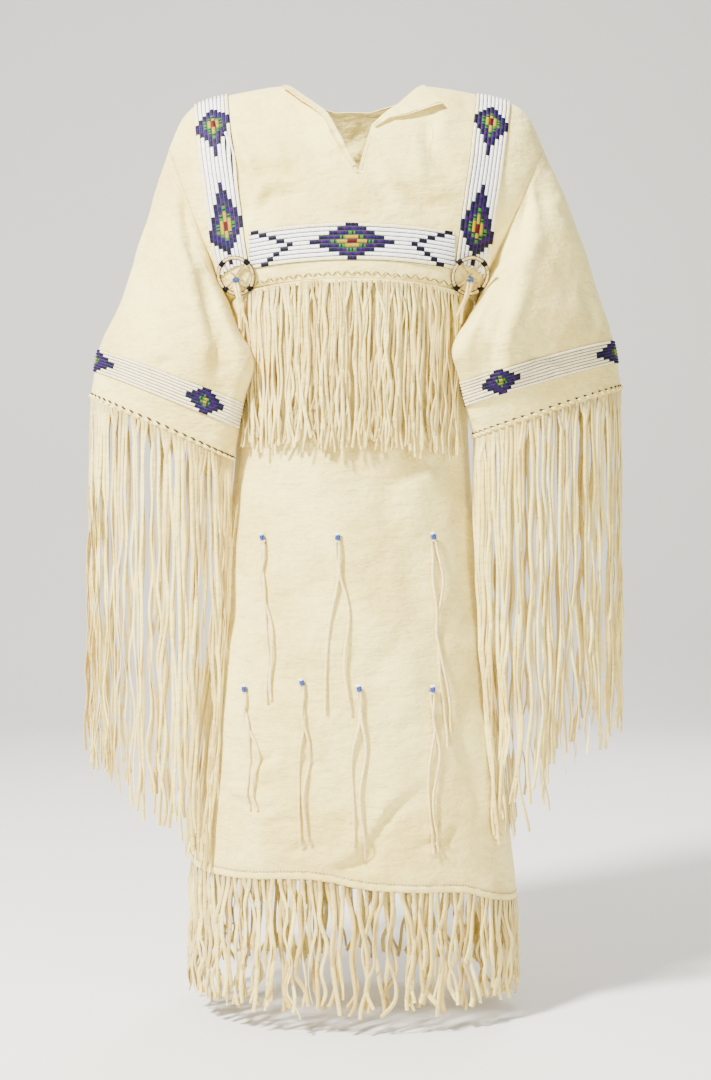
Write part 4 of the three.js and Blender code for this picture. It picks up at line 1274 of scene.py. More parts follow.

# %% [markdown]
# ## Quillwork
#
# Flattened quills are folded back and forth between two threads, one small turn after
# another, so a lane is a row of low bars and a band is several lanes with a near-black line
# between, the thread and painted shade in the gaps as one. The pattern is stepped because a
# lane can only change colour from turn to turn.
# Each diamond is charted lane by lane: how far it runs each way, and how deep its rings lie.

# %% Quill colours and charts
DYES = {
    "white": "#f8f8f4",
    "ivory": "#f7e9bb",
    "navy": "#04041e",
    "indigo": "#080830",
    "violet": "#1e004c",
    "plum": "#3c0048",
    "green": "#257308",
    "yellow": "#a08400",
    "red": "#4c0000",
}
DYE = {name: np.array(linear(code)) for name, code in DYES.items()}
PITCH = 2.0  # one quill turn along a lane, millimetres
LANES, CUFF_LANES = 9, 8


def mirrored(half):
    """A lane table from its outermost lane to the middle one, written out for all lanes."""
    return half + half[-2::-1]


# Each chart row is one diamond: how far each lane runs back and forward from its centre.
CHEST_DIAMOND = {"back": [7, 18, 28, 40, 51, 39, 27, 16, 6]}
UPPER_DIAMOND = {"back": mirrored([9, 17, 26, 38, 53]), "forward": mirrored([6, 12, 17, 22, 26])}
LOWER_DIAMOND = {"back": mirrored([7, 15, 22, 29, 35]), "forward": mirrored([9, 22, 34, 46, 57])}
CUFF_DIAMOND = {"back": [6, 12, 18, 25, 25, 18, 12, 6], "dark": True}
CUFF_END_DIAMOND = {"back": [12, 24, 37, 50, 50, 37, 24, 12], "dark": True}
# The rings of a diamond, from its middle outwards, as shares of its reach.
RINGS = [(0.13, "red"), (0.34, "yellow"), (0.5, "green")]
DARK_RINGS = [(0.17, "yellow"), (0.36, "green")]
OUTER_RING = 0.74
LANE_STEP = 5.4  # lanes from a diamond's middle to its tip, for the rings
# The chevron at each end of the chest: each lane's dark block, and half a block's length.
CHEVRON = [119, 109.5, 97, 87, 76, 83, 92, 100, 106.5]
CHEVRON_BLOCK = 4.6


def diamond_dye(chart, lane, off):
    """The dye of one lane at a distance from the diamond's centre, or None outside it."""
    reaches = chart["back"] if off < 0 else chart.get("forward", chart["back"])
    if abs(off) > reaches[lane]:
        return None
    middle = (len(reaches) - 1) / 2
    ring = abs(off) / max(reaches) + abs(lane - middle) / LANE_STEP
    turn = (lane * 3 + int(off // PITCH)) % 5
    for share, name in DARK_RINGS if chart.get("dark") else RINGS:
        if ring < share:
            return "indigo" if name == "green" and turn % 2 else name
    if ring < OUTER_RING:
        return ("violet", "indigo", "violet", "plum", "violet")[turn]
    return ("navy", "navy", "indigo", "navy", "violet")[turn]


def quill_material(name):
    shader = Shader(name, 0.55, Specular_IOR_Level=0.16)
    dye = shader.node("ShaderNodeAttribute", {"attribute_name": "dye"}, {}).outputs["Color"]
    streak = shader.noise(1500, 2, rough=0.6)
    cloud = shader.noise(160, 2)
    shade = (streak * 0.22 + cloud * 0.3 - 0.26).clamped(0.0, 0.3)
    shader.colour(shader.mix(shade, dye, linear("#6f6a54"), "MULTIPLY"))
    shader.rough((streak * 0.2 + 0.5).clamped(0.45, 0.75))
    shader.bump(streak, 0.0003, 0.5)
    return shader.material


def thread_material(name, dark, pale, rough, mottle, grain, bump):
    shader = Shader(name, rough)
    shader.colour(shader.mix(shader.noise(mottle, 2), linear(dark), linear(pale)))
    shader.bump(shader.noise(*grain), *bump)
    return shader.material


QUILL_LOOK = quill_material("dyed_quills")
# near-black ground under the lanes: the thread between them and painted shade in the gaps
LANE_THREAD_AND_SHADE = thread_material(
    "lane_thread_and_shade", "#0e0e12", "#33322c", 0.8, 700, (1200, 2), (0.0003, 0.6)
)
print(len(DYES), "dyes,", LANES, "lanes on the chest,", CUFF_LANES, "on the cuffs")


# %% Laying a band
QUILL_LIFT = 1.5  # the bars' middle above the hide
LOOK_AHEAD = 0.8
BAR_LENGTH, BAR_WIDTH = 0.52, 0.83  # half sizes, as shares of the pitch and the half lane


def lay_band(name, place, length, lanes, chart, field, seed):
    """place(s, across, lift) gives points and outward, s along the band in millimetres.
    chart(lane, s) gives a dye, and where it gives none the lane is the field's colour."""
    source = np.random.default_rng(seed)
    cells = int(round(length / PITCH))
    s = (np.arange(cells) + 0.5) * length / cells
    rows, dyes = [], []
    for lane in range(lanes):
        middle = np.full(cells, -1 + (2 * lane + 1) / lanes)
        plain = field if 0 < lane < lanes - 1 else "ivory"
        shift = source.uniform(-0.5, 0.5)
        at = np.clip(s + shift, 0.2, length - 0.2)
        points, outward = place(at, middle, QUILL_LIFT)
        ahead, _ = place(np.minimum(at + LOOK_AHEAD, length), middle, QUILL_LIFT)
        behind, _ = place(np.maximum(at - LOOK_AHEAD, 0), middle, QUILL_LIFT)
        edge, _ = place(at, middle + 1 / lanes, QUILL_LIFT)
        wide = np.linalg.norm(edge - points, axis=1)
        rise = np.clip(1.05 + source.normal(0, 0.06, cells), 0.85, 1.25)
        size = stack(PITCH * BAR_LENGTH, wide * BAR_WIDTH, rise)
        rows.append((points, unit(ahead - behind), outward, size))
        for k in range(cells):
            dye = DYE[chart(lane, at[k] - shift) or plain].copy()
            dye[:3] *= source.uniform(0.86, 1.04)
            dyes.append(np.clip(dye, 0, 1))
    places = [np.concatenate(part) for part in zip(*rows)]
    quills = repeats(name, *places, QUILL_LOOK, tree=WRAPS, dye=np.array(dyes))

    # the ground shows between the lanes and at the band's edges as dark thread and painted shade
    s = np.linspace(0, length, max(12, int(length / 4)))
    s, across = matched(s[None, :], np.linspace(-1.0, 1.0, lanes * 2 + 1)[:, None])
    lift = np.where(np.abs(across) > 0.999, 1.1, 1.62)
    outer, outward = place(s, across, lift)
    base = shell(name + "_ground", outer, -outward, LANE_THREAD_AND_SHADE, 1.4)
    store(base.data, {"dye": np.full((len(base.data.vertices), 4), DYE["ivory"])})
    return together(name, [quills, base])


# %% Chest band
CHEST_HALF, CHEST_TALL, CHEST_MIDDLE, CHEST_DROP = 126, 23, -223.5, 7


def chest_place(s, across, lift):
    along = np.asarray(s) / CHEST_HALF - 1
    x = along * CHEST_HALF
    z = CHEST_MIDDLE - CHEST_DROP * along**2 - across * CHEST_TALL
    return on_chest(x, z, lift)


def chest_chart(lane, s):
    x = s - CHEST_HALF
    if abs(abs(x) - CHEVRON[lane]) < CHEVRON_BLOCK:
        return "navy"
    return diamond_dye(CHEST_DIAMOND, lane, x)


chest_band = lay_band(
    "dressed_chest_band", chest_place, 2 * CHEST_HALF, LANES, chest_chart, "white", 131
)
settle(chest_band, "quillwork", "chest_band")
print("chest band:", triangles(chest_band))

# %% [markdown]
# ## Shoulder strips
#
# Each strip starts above its wheel, climbs the front, goes over the shoulder and ends a
# little way down the back. Its length is measured along its own middle, so the quill turns
# stay the same size where it bends over.

# %% Shoulder strips
STRIP = {"middle_x": (144, 182), "half": (20.5, 22)}  # at the yoke's foot and at its crest
STRIP_START, STRIP_END = 0.12, 0.74  # up the front and up the back
# The height of each diamond's centre on the front.
DIAMOND_HEIGHTS = {"left": (-62, -200), "right": (-60, -203)}
# A dark block on the middle lane behind each wheel's top.
END_BLOCK = {"z": -242, "half": 4.5}


def strip_line(side):
    """Many stations along the strip: up, facing and the distance from its lower end."""
    front = np.linspace(STRIP_START, 1, 320)
    back = np.linspace(1, STRIP_END, 160)[1:]
    up = np.concatenate([front, back])
    facing = np.concatenate([np.full(len(front), -1), np.full(len(back), 1)])
    middle, _ = strip_points(side, up, facing, np.zeros(len(up)), 2.0)
    return up, facing, path_length(middle), middle


def strip_points(side, up, facing, across, lift):
    x = blend(*STRIP["middle_x"], up) + across * SIGN[side] * blend(*STRIP["half"], up)
    share = SIGN[side] * x / blend(UNDERARM, shoulder_x(np.full_like(up, SIGN[side])), up)
    front, out_front = on_yoke(share, up, -1, lift)
    rear, out_rear = on_yoke(share, up, 1, lift)
    choose = (np.asarray(facing) < 0)[..., None]
    points, outward = np.where(choose, front, rear), np.where(choose, out_front, out_rear)
    near = ease((0.992 - up) / 0.02)[..., None]
    level = outward * near + unit(outward * [1, 0.0, 1]) * (1 - near)
    bare = yoke_point(share, up, -1) * choose + yoke_point(share, up, 1) * ~choose
    folded_up = bare + unit(level) * np.asarray(lift, float)[..., None]
    return np.where(near > 0.999, points, folded_up), unit(level)


def strip_band(side):
    up, facing, gone, middle = strip_line(side)
    signed = np.where(facing < 0, up, 2 - up)

    def place(s, across, lift):
        s, across, lift = matched(s, across, lift)
        at = np.interp(s, gone, signed)
        face = np.where(at <= 1, -1, 1)
        return strip_points(side, np.where(at <= 1, at, 2 - at), face, across, lift)

    front = facing < 0
    heights = (*DIAMOND_HEIGHTS[side], END_BLOCK["z"])
    upper, lower, block = (np.interp(z, middle[front, 2], gone[front]) for z in heights)

    def chart(lane, s):
        if lane == LANES // 2 and abs(s - block) < END_BLOCK["half"]:
            return "navy"
        dye = diamond_dye(UPPER_DIAMOND, lane, s - upper)
        return dye or diamond_dye(LOWER_DIAMOND, lane, s - lower)

    name = f"dressed_{side}_strip"
    return lay_band(name, place, gone[-1], LANES, chart, "white", 141 + SIGN[side])


for side in SIGN:
    strip = settle(strip_band(side), "quillwork", f"{side}_shoulder_strip")
    print(side, "strip:", triangles(strip))

# %% [markdown]
# ## Cuff bands
#
# Eight lanes run round each sleeve above the cuff's edge, ivory with dark thread and painted shade
# between.
# One diamond lies on the front towards the body, its pair on the back, and a larger one is
# folded over the sleeve's outer end.

# %% Cuff bands
CUFF = {"from": 0.76, "to": 0.873, "start": -175, "end": 173}
CUFF_DIAMOND_X = {"left": -181, "right": 184}
END_SHIFT = 14  # the folded diamond shows more on the front


def cuff_band(side):
    angle = np.linspace(CUFF["start"], CUFF["end"], 500)
    middle, _ = on_sleeve(side, np.full(500, (CUFF["from"] + CUFF["to"]) / 2), angle, 1.0)
    gone = path_length(middle)
    front = (angle > 25) & (angle < 172)
    order = np.argsort(middle[front, 0])
    near = np.interp(CUFF_DIAMOND_X[side], middle[front, 0][order], angle[front][order])
    centres = [np.interp(a, angle, gone) for a in (near, -near)]
    fold = np.interp(2, angle, gone) + END_SHIFT

    def place(s, across, lift):
        s, across = matched(s, across)
        share = blend(CUFF["from"], CUFF["to"], (across * -SIGN[side] + 1) / 2)
        return on_sleeve(side, share, np.interp(s, gone, angle), lift)

    def chart(lane, s):
        dyes = (diamond_dye(CUFF_DIAMOND, lane, s - centre) for centre in centres)
        return next(filter(None, dyes), None) or diamond_dye(CUFF_END_DIAMOND, lane, s - fold)

    name = f"dressed_{side}_cuff"
    return lay_band(name, place, gone[-1], CUFF_LANES, chart, "ivory", 151 + SIGN[side])


for side in SIGN:
    cuff = settle(cuff_band(side), "quillwork", f"{side}_cuff_band")
    print(side, "cuff:", triangles(cuff))

# %% [markdown]
# ## The slit's turned edges
#
# Beside the slit the yoke's own hide is rolled outwards: a narrow roll on one side and a
# larger pointed flap on the other, which stands off the chest at its tip.


# %% Turned edges
def outwards(piece):
    """Turns the faces out, after the doubles are gone."""
    form = bmesh.new()
    form.from_mesh(piece.data)
    bmesh.ops.remove_doubles(form, verts=form.verts, dist=1e-7)
    bmesh.ops.recalc_face_normals(form, faces=form.faces)
    form.to_mesh(piece.data)
    form.free()
    return piece


def loft(name, rings, material, layers=None):
    """A closed form through rings of points, with an end over each end ring."""
    rows, columns = rings.shape[:2]
    faces = grid_faces(rows, columns, 0, True).tolist()
    faces += [list(range(columns))[::-1], [(rows - 1) * columns + i for i in range(columns)]]
    return outwards(new_piece(name, rings.reshape(-1, 3), faces, material, layers, sharp=60))


def closed_ring(name, rings, material):
    """A closed form through rings of points, the last one joined to the first."""
    rows, columns = rings.shape[:2]
    last = (rows - 1) * columns
    faces = grid_faces(rows, columns, 0, True).tolist()
    faces += [[last + i, last + (i + 1) % columns, (i + 1) % columns, i] for i in range(columns)]
    return outwards(new_piece(name, rings.reshape(-1, 3), faces, material))


# Across, up, reach and the way the hide is turned, along each side of the slit.
LEFT_EDGE = [
    (-0.362, 0.97, 11, -0.42, -0.9),
    (-0.275, 0.9, 10, -0.5, -0.87),
    (-0.15, 0.79, 9, -0.6, -0.8),
    (-0.072, 0.665, 9, -0.9, -0.44),
    (-0.02, 0.58, 7, -0.9, -0.44),
    (0.018, 0.525, 4, -0.9, -0.44),
]
RIGHT_FLAP = [
    (0.118, 0.725, 4, 0.75, -0.66),
    (0.185, 0.79, 11, 0.6, -0.8),
    (0.262, 0.85, 23, 0.5, -0.87),
    (0.372, 0.985, 46, 0.46, -0.89),
]


def turned_rows(table, count):
    place = np.linspace(0, len(table) - 1, count)
    return read(np.arange(len(table)), np.array(table, float), place)


def turned_edge(name, table, stands, count=44):
    """stands holds how far the free edge is off the chest at the first row and at the last."""
    rings, hem = [], []
    for row, (across, up, reach, away_x, away_z) in enumerate(turned_rows(table, count)):
        root = yoke_point(across, up, -1)
        stand = blend(*stands, row / (count - 1))
        thick = 2.4 + 0.5 * math.sin(row * 0.7)
        # The section: the roll at the root, the upper face, the free edge, the lower face.
        shape = [(-0.4, -1.5), (-1.6, -0.9), (-2.2, 0.3), (-1.9, 1.6)]
        shape += [(-0.8, thick), (1.4, thick + 0.5)]
        for share in (0.3, 0.55, 0.8, 0.95):
            sag = 0.7 * math.sin(share * 5 + row * 0.35)
            shape.append((reach * share, thick - 0.3 + stand * share**1.3 + sag * share))
        shape += [(reach, thick - 1.0 + stand), (reach - 0.2, 0.7 + stand)]
        shape += [(reach * share, 0.5 + stand * share) for share in (0.8, 0.5, 0.2)]
        shape.append((0.0, -0.6))
        off, height = np.array(shape).T
        points, outward = on_chest(root[0] + off * away_x, root[2] + off * away_z, height)
        rings.append(points)
        hem.append((points[9] + outward[9] * 0.25, outward[9]))
    rings = np.array(rings)
    return loft(name, rings, HIDE_LOOK, {"edge": np.zeros(rings.shape[0] * rings.shape[1])}), hem


left_edge, left_hem = turned_edge("dressed_left_neck_edge", LEFT_EDGE, (6.0, 0.2))
right_flap, right_hem = turned_edge("dressed_right_neck_flap", RIGHT_FLAP, (0.3, 6.5))
settle(left_edge, "hide", "left_neck_edge")
settle(right_flap, "hide", "right_neck_flap")
print("turned edges:", triangles(left_edge), triangles(right_flap))

# %% [markdown]
# ## Thread and sewing
#
# The dress is sewn with a fine dark thread where it shows: a zigzag over the waist seam, a
# running line beside the slit and along the flap, a bar at the slit's end and lines at the
# armholes and hem. Under the hem band a near-continuous dark line is painted shadow. A stitch
# is one small bead stretched to the stitch's length.


# %% Sewing
SEWN = (0.75, 1600, (2500, 1), (0.0002, 0.5))  # roughness, mottle, grain and bump
# dark thread for the stitches; the same dark material is painted shade in the slits and painted
# shadow under the hem band
DARK_THREAD_AND_SHADE = thread_material("dark_thread_and_shade", "#120d06", "#35291a", *SEWN)
PALE_THREAD = thread_material("pale_thread", "#b9a77c", "#ded1ab", *SEWN)
SLIT_END = (0.038 * 204, -137.2)


def segments(name, starts, ends, outward, look, radius, shrink=1.0):
    """One stitch between each pair of places."""
    starts, ends = np.asarray(starts), np.asarray(ends)
    along = ends - starts
    half = np.linalg.norm(along, axis=1) / 2 * shrink
    size = stack(half, radius, radius)
    return repeats(name, (starts + ends) / 2, unit(along), outward, size, look, sides=6, rings=5)


def running(name, points, outward, look, stitch, gap, radius):
    """A line of stitches along a path."""
    points, outward = np.asarray(points), np.asarray(outward)
    gone = path_length(points)
    starts = np.arange(0, gone[-1] - stitch, stitch + gap)

    def at(values, s):
        return np.column_stack([np.interp(s, gone, values[:, k]) for k in range(3)])

    middle = at(outward, starts + stitch / 2)
    return segments(name, at(points, starts), at(points, starts + stitch), middle, look, radius)


def zigzag():
    """Over the waist seam: up on the yoke and down to the fringe's top."""
    count = 47
    share = np.linspace(-0.86, 0.86, count)
    high = np.arange(count) % 2 == 0
    rise = np.where(high, 8.0, 2.6) + 0.5 * np.sin(np.arange(count) * 2.3)
    points, outward = on_chest(share * UNDERARM, seam_z(share) + rise, 1.1)
    ends = points[:-1], points[1:]
    return segments("zigzag_stitches", *ends, outward[:-1], DARK_THREAD_AND_SHADE, 0.6, 1.04)


sewing = [zigzag()]
for name, hem, look, stitch, radius in (
    ("left_edge_stitches", left_hem, PALE_THREAD, 2.2, 0.3),
    ("flap_stitches", right_hem, DARK_THREAD_AND_SHADE, 2.4, 0.34),
):
    sewing.append(running(name, *zip(*hem), look, stitch, 1.0, radius))

for name, start, end, count, below in (
    ("slit_stitches_right", 0.058, 0.118, 24, 0.062),
    ("slit_stitches_left", -0.095, 0.02, 34, 0.05),
):
    across = np.linspace(start, end, count)
    line = on_yoke(across, neck_top(FRONT_NECK, across) - below, -1, 0.35)
    sewing.append(running(name, *line, DARK_THREAD_AND_SHADE, 2.2, 1.2, 0.3))

bar, outward = on_chest(np.linspace(-3.2, 3.2, 4) + SLIT_END[0], SLIT_END[1], 0.6)
ends = bar[:-1] + [0, 0, 0.9], bar[1:] - [0, 0, 0.7]
sewing.append(segments("bar_tack", *ends, outward[:-1], DARK_THREAD_AND_SHADE, 0.35))

for side in SIGN:
    line = on_sleeve(side, np.full(200, 0.03), np.linspace(8, 172, 200), 0.3)
    sewing.append(running(f"{side}_armhole_stitches", *line, PALE_THREAD, 2.4, 1.6, 0.3))
    for turn in (176.5, 183.5):
        line = on_sleeve(side, np.linspace(0.05, 0.97, 200), np.full(200, turn), 0.3)
        name = f"{side}_underarm_{int(turn)}"
        sewing.append(running(name, *line, PALE_THREAD, 2.6, 1.8, 0.28))

for facing in (-1, 1):
    angle = np.linspace(-1.5, 1.5, 400)
    line = on_skirt(angle, hem_top(angle) + 1.2, facing, 0.25)
    sewing.append(running(f"hem_stitches_{facing + 1}", *line, DARK_THREAD_AND_SHADE, 3.2, 1.2, 0.3))
    # a near-continuous dark line just under the hem band: painted shadow of the band's lower edge
    line = hem_place(angle, 8.6, facing, 0.4)
    sewing.append(running(f"hem_painted_shadow_{facing + 1}", *line, DARK_THREAD_AND_SHADE, 4.2, 0.4, 0.42))

fall = np.linspace(0, 1, 15)
loose, outward = on_chest(97 + 4 * np.sin(fall * 4.6), -66 - 46 * fall, 0.6 + 2 * fall)
ends = loose[:-1], loose[1:]
sewing.append(segments("loose_thread", *ends, outward[:-1], PALE_THREAD, 0.32, 1.08))
sewn = together("dressed_sewing", sewing)
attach(sewn, "root")
print("sewing:", triangles(sewn), "triangles")

# %% [markdown]
# ## Laced cuffs
#
# The sleeve fringe is laced: each pair of strands comes up through a slit and over the cuff's
# edge, so a row of small soft loops runs round the cuff, with a flat dark bead of painted shade
# for the opening of the slit above each.


# %% Cuff loops
def cuff_loops(side):
    angle = np.concatenate([np.linspace(5, 174, 25), np.linspace(186, 355, 22)])
    loops, outward, down = cuff_place(side, angle, -0.4, 0.7)
    level = unit(np.cross(outward, down))
    slant = unit(level + down * 0.35)
    tones = np.random.default_rng(7).uniform(0, 0.6, len(angle))
    soft = repeats(
        f"{side}_loops", loops, slant, outward, (4.2, 2.1, 1.9), FRINGE_LOOK, sides=10, rings=7,
        tone=tones, depth=np.zeros(len(angle)),
    )
    # each slit's opening is a flat dark bead: painted shade where the hole lies in shadow
    slit_shades, outward, _ = cuff_place(side, angle + 1.6, -3.0, 0.25)
    dark = repeats(f"{side}_slits", slit_shades, slant, outward, (4.3, 1.5, 0.6), DARK_THREAD_AND_SHADE, rings=5)
    return together(f"dressed_{side}_cuff_loops", [soft, dark])


for side in SIGN:
    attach(cuff_loops(side), "root")
print("cuff loops laid")

# %% [markdown]
# ## Wheels
#
# A wheel is a hoop wound with pale quill, four dark windings, two crossed thongs and a
# turquoise bead, with two thongs hanging from it. It stands on the yoke in its own frame:
# x across, y up and z outwards.

# %% Wheels
RADIUS, FACE_FRONT = 22.7, 0.6
TUBE, RIM, WRAP, WRAP_LENGTH = 2.3, 0.8, 3.3, 7
WHEELS = {"left": (-141, -257, 9.6), "right": (144, -256, 10.2)}  # x, z and lift
TAIL_LEAN = {"left": 7, "right": 14}
TAIL_ROOT, TAIL_ENDS = -7.6, (-62, -57)


def wound(name, colour, dark):
    shader = Shader(name, 0.6, Specular_IOR_Level=0.12)
    patches = shader.noise(520, 3, rough=0.6).step(0.35, 0.75)
    shader.colour(shader.mix(patches, linear(colour), linear(dark)))
    shader.rough((shader.noise(900, 2) * 0.25 + 0.5).clamped(0.45, 0.8))
    shader.bump(shader.noise(1400, 2), 0.0003, 0.5)
    return shader.material


def glass(name, colour, dark):
    shader = Shader(name, 0.16, Coat_Weight=0.6, Coat_Roughness=0.08)
    shader.colour(shader.mix(shader.noise(260, 3).step(0.4, 0.75), linear(colour), linear(dark)))
    shader.rough((shader.noise(700, 1) * 0.12 + 0.12).clamped(0.1, 0.3))
    return shader.material


HOOP_LOOK = wound("pale_winding", "#e6d28e", "#6f5226")
# painted shadow: dark rings that stand for the shade along the hoop's inner and outer edges
RIM_SHADOW_LOOK = wound("painted_rim_shadow", "#3d2a12", "#20150a")
DARK_LOOK = wound("dark_winding", "#07060f", "#030308")
TURQUOISE = glass("turquoise_bead", "#034078", "#032844")
SINEW_LOOK = wound("sinew_thong", "#cdb272", "#6f5226")
BLUE = glass("blue_bead", "#16348c", "#0c2063")
THONG_LOOK = hide_material("thong_hide", "#fbe99a", "#e4c66a", strands=True)
KNOT_LOOK = hide_material("knot_hide", "#fffdf2", "#f2ead0", strands=True)


def wheel_frame(side):
    x, z, lift = WHEELS[side]

    def on(dx, dz):
        return yoke_point(*yoke_place(x + dx, z + dz), -1)

    reach = RADIUS - 3
    level = unit(on(reach, 0.0) - on(-reach, 0.0))
    level = unit(level + (np.array([1.0, 0.0, 0.0]) - level) * FACE_FRONT)
    outward = unit(np.cross(level, on(0.0, reach) - on(0.0, -reach)))
    upward = np.cross(outward, level)
    centre = on(0.0, 0.0) + outward * lift
    return centre, np.stack([level, upward, outward])


def around(count):
    """Angles spaced evenly round a circle."""
    return np.linspace(0, 2 * math.pi, count, endpoint=False)


def ring_tube(turns, rounds, radius, tube, frame_at, start=0.0, stop=2 * math.pi):
    """Points of a tube bent on a circle; tube may be a function of the way round."""
    u = np.linspace(start, stop, turns, endpoint=stop - start < 6.28)
    u, v = np.meshgrid(u, around(rounds), indexing="ij")
    thick = tube(u, v)
    x, y = (radius + thick * np.cos(v)) * np.cos(u), (radius + thick * np.cos(v)) * np.sin(u)
    centre, axes = frame_at
    return centre + np.stack([x, y, thick * np.sin(v)], axis=-1) @ axes


def dress_wheel(side):
    at = wheel_frame(side)
    centre, axes = at

    def hoop_tube(u, v):
        return TUBE + 0.22 * np.abs(np.sin(u * 46 + v)) - 0.1

    def rim_tube(u, v):
        return RIM + 0 * u

    rings = ring_tube(368, 12, RADIUS, hoop_tube, at)
    parts = [closed_ring(f"dressed_{side}_hoop", rings, HOOP_LOOK)]
    # two dark rings of painted shadow, one along each edge of the hoop
    for k, off in enumerate((-1.9, 1.9)):
        raised = centre + axes[2] * 0.9, axes
        rings = ring_tube(120, 6, RADIUS + off, rim_tube, raised)
        parts.append(closed_ring(f"dressed_{side}_rim_{k}", rings, RIM_SHADOW_LOOK))
    hoop = together(f"dressed_{side}_hoop", parts)
    settle(hoop, "hoop_quill", f"{side}_wheel_hoop")
    for k in range(4):
        turn = math.pi / 4 + k * math.pi / 2
        half = WRAP_LENGTH / 2 / RADIUS

        def winding(u, v):
            end = 1 - 0.1 * np.abs((u - turn) / half) ** 6
            return WRAP * end + 0.18 * np.abs(np.sin((u - turn) * 90 + v))

        tube = ring_tube(30, 14, RADIUS, winding, at, turn - half, turn + half)
        piece = loft(f"dressed_{side}_winding_{k + 1}", tube, DARK_LOOK)
        settle(piece, "dark_wrap", f"{side}_wheel_wrap_{k + 1}")

    def local(points):
        return centre + np.asarray(points, float) @ axes

    reach = RADIUS - 1.2
    lines = []
    for turn in (math.pi / 4, -math.pi / 4):
        t = np.linspace(-1, 1, 22)
        bow = 0.9 * np.sin(t * 3.1) + 0.3
        rise = 0.9 * (1 - t**2) + (0.9 if turn < 0 else 0)
        x = t * reach * math.cos(turn) - bow * math.sin(turn)
        y = t * reach * math.sin(turn) + bow * math.cos(turn)
        lines.append(local(stack(x, y, rise)))
    for turn in (-2.45, -2.1, -0.7, -1.05):
        t = np.linspace(0, 1, 14)
        tip = np.array([math.cos(turn), math.sin(turn)]) * (reach - 1)
        x, y = tip[0] * t, -5 + (tip[1] + 5) * t
        lines.append(local(stack(x, y, 1.4 + 1.2 * np.sin(t * math.pi))))
    thongs = ribbons(
        f"dressed_{side}_wheel_thongs", lines, [axes[2]] * 6, [2.4] * 2 + [1.3] * 4, 171,
        twist=1.5, flat=0.55, look=SINEW_LOOK, root=4,
    )
    settle(thongs, "thong", f"{side}_wheel_thongs")

    profile = [(1.0, -1.7), (2.4, -2.3), (3.4, -1.4), (3.7, 0), (3.4, 1.4), (2.4, 2.3), (1.0, 1.7)]
    v = around(24)
    rings = [
        local(stack(r * np.cos(v) * 1.25, -4.4 + r * np.sin(v) * 0.95, 3.4 + h))
        for r, h in profile + [(0.9, 0.0)]
    ]
    bead = closed_ring(f"dressed_{side}_wheel_bead", np.stack(rings), TURQUOISE)
    settle(bead, "turquoise", f"{side}_wheel_bead")

    lean = -SIGN[side] * TAIL_LEAN[side]
    lines = []
    for k, way in enumerate((-1, 1)):
        t = np.linspace(0, 1, 20)
        x = way * 2.8 * (0.35 + t) + lean * t + 1.4 * np.sin(t * 6 + way)
        y = blend(TAIL_ROOT, TAIL_ENDS[k], t)
        lines.append(local(stack(x, y, 4.6 + 11 * t + np.sin(t * 7 + k))))
    tails = ribbons(
        f"dressed_{side}_tails", lines, [axes[2]] * 2, [3.4, 3.2], 181 + SIGN[side],
        twist=2.4, flat=0.36, look=THONG_LOOK, root=5,
    )
    settle(tails, "thong", f"{side}_wheel_tails")
    return triangles(hoop) + triangles(thongs)


print("wheels:", [dress_wheel(side) for side in SIGN])

# %% [markdown]
# ## Beads and thongs on the skirt
#
# A thong passes through a bead, is knotted above it and comes out of a slit below it as two
# ends. The ends cross and wander as thin hide does when it has been tied.

# %% Skirt beads
SKIRT_THONGS = [
    (-109, -585, (-100, -786), (-95, -783)),
    (-17, -585, (-37, -797), (-6, -799)),
    (100, -584, (116, -842), (122, -841)),
    (-131, -772, (-125, -917), (-115, -918)),
    (-60, -762, (-66, -959), (-57, -954)),
    (9, -769, (-1, -960), (13, -975)),
    (98, -771, (93, -970), (99, -969)),
]


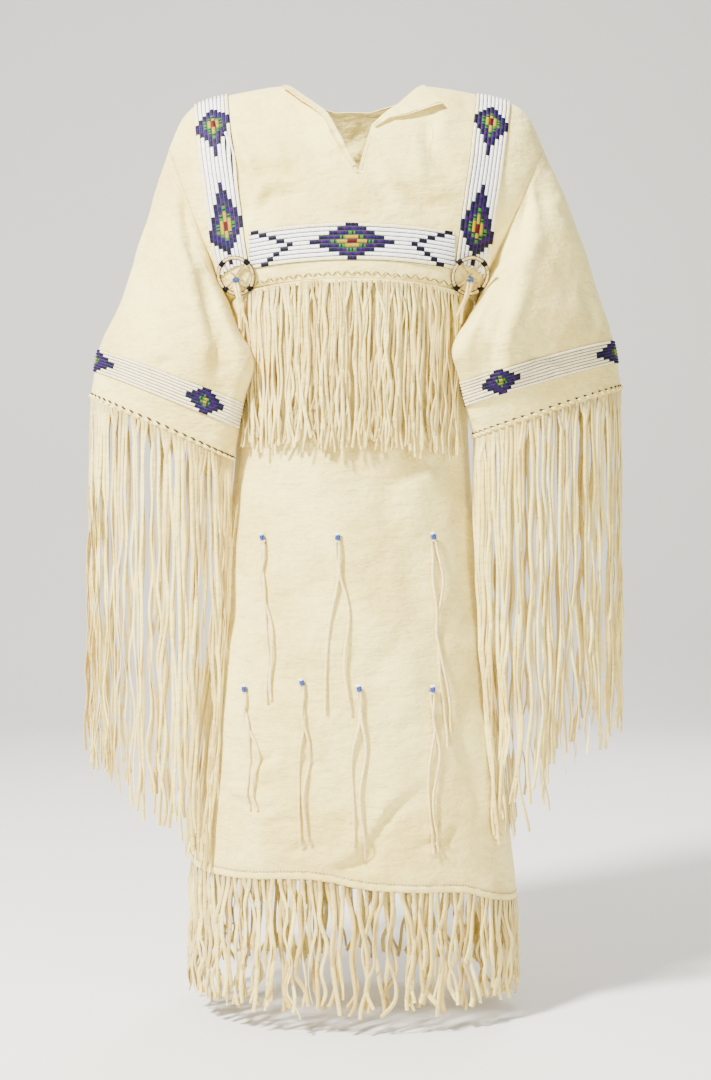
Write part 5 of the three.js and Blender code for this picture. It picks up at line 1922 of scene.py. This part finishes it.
def skirt_bead(k, x, z, ends):
    source = np.random.default_rng(200 + k)
    tilt = source.uniform(-0.35, 0.35)
    centre, outward = on_skirt_front(np.array(x, float), np.array(z, float), np.array(3.4))
    across = unit(np.cross([0, 0, 1.0], outward)) * -1
    axis = unit(np.array([0, 0, 1.0]) + across * tilt)
    side_way = np.cross(axis, outward)
    profile = [(1.0, -2.9), (2.6, -3.2), (3.3, -2.2), (3.5, 0), (3.3, 2.2), (2.6, 3.2), (1.0, 2.9)]
    v = around(20)[:, None]
    rings = [
        centre + r * np.cos(v) * side_way + r * np.sin(v) * outward + h * axis for r, h in profile
    ]
    bead = loft(f"dressed_skirt_bead_{k}", np.stack(rings), BLUE)
    settle(bead, "blue_bead", f"skirt_bead_{k}")

    lines, faces = [], []
    swing, phase = source.uniform(3.5, 6.5), source.uniform(0, 6)
    for way, (end_x, end_z) in zip((-1, 1), ends):
        t = np.linspace(0, 1, 34)
        aside = swing * (np.sin(t * 8.5 + phase) - math.sin(phase)) * t**0.5 * (1 - 0.4 * t)
        part = way * (1.8 + 5.0 * np.sin(t * 9.0 + phase * 0.7) * ease(t * 4))
        part = part * (1 - ease(t * 1.1 - 0.1))
        at_x = blend(x, end_x, t) + aside + part
        at_z = blend(z - 4.2, end_z, t)
        lift = 2.3 + 1.2 * np.sin(t * 9 + way) + (way > 0) * 1.2
        line, facing = on_skirt_front(at_x, at_z, lift)
        lines.append(line)
        faces.append(facing)
    thongs = ribbons(
        f"dressed_skirt_thongs_{k}", lines, faces, [3.7, 3.5], 210 + k, twist=1.6, flat=0.4,
        look=THONG_LOOK, tone=(0, 0.5), root=6,
    )
    above, beside = centre + axis * 4.3 + outward * 0.4, centre + axis * 3.6 + across * 2.6
    # the knot below the bead is darkened a little: painted shade under the bead
    knots = repeats(
        f"knots_{k}", [above, beside, centre - axis * 4.4], [across, unit(across + axis), across],
        outward, [[3.3, 1.9, 1.8], [2.7, 1.3, 1.3], [3.0, 1.8, 1.6]], KNOT_LOOK,
        sides=12, rings=8, tone=[0.0, 0.1, 0.2], depth=[0.0, 0.0, 0.2],
    )
    # the slit below the bead is a flat dark bead of painted shade, for the hole that the thong
    # comes out of
    below = centre - axis * 6.6 - outward * 2.6
    slit = repeats(f"slit_{k}", [below], [axis], outward, [3.0, 0.9, 0.5], DARK_THREAD_AND_SHADE)
    both = together(f"dressed_skirt_thongs_{k}", [thongs, knots, slit])
    settle(both, "thong", f"skirt_thongs_{k}")
    return triangles(both)


for k, (x, z, *ends) in enumerate(SKIRT_THONGS, 1):
    print("skirt thongs", k, skirt_bead(k, x, z, ends))

# %% [markdown]
# ## The floor, and the finish
#
# The floor and the curve behind it are a stage, not part of the dress.

# %% Floor and finish
stage_look = Shader("pale_floor", 0.9)
stage_look.colour(
    stage_look.mix(stage_look.noise(3, 2) * 0.25, linear("#e9e7e2"), linear("#dcdad4"))
)
FLAT, BEND, WALL, HALF_WIDTH = 3.0, 1.5, 6.0, 7  # the backdrop, in metres
profile = [(-FLAT - BEND, FLOOR), (FLAT, FLOOR)]
for turn in np.linspace(0.2, 1.5708, 10):
    profile.append((FLAT + BEND * math.sin(turn), FLOOR + BEND - BEND * math.cos(turn)))
profile.append((FLAT + BEND, FLOOR + WALL))
floor_points = np.array([(x, y, z) for y, z in profile for x in (-HALF_WIDTH, HALF_WIDTH)]) * 1000
floor_faces = [(2 * k, 2 * k + 1, 2 * k + 3, 2 * k + 2) for k in range(len(profile) - 1)]
floor = new_piece("floor", floor_points, floor_faces, stage_look.material)

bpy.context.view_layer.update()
shown = [o for o in bpy.context.view_layer.objects if o.type == "MESH" and not o.hide_render]
print("triangles in all:", sum(triangles(piece) for piece in shown))
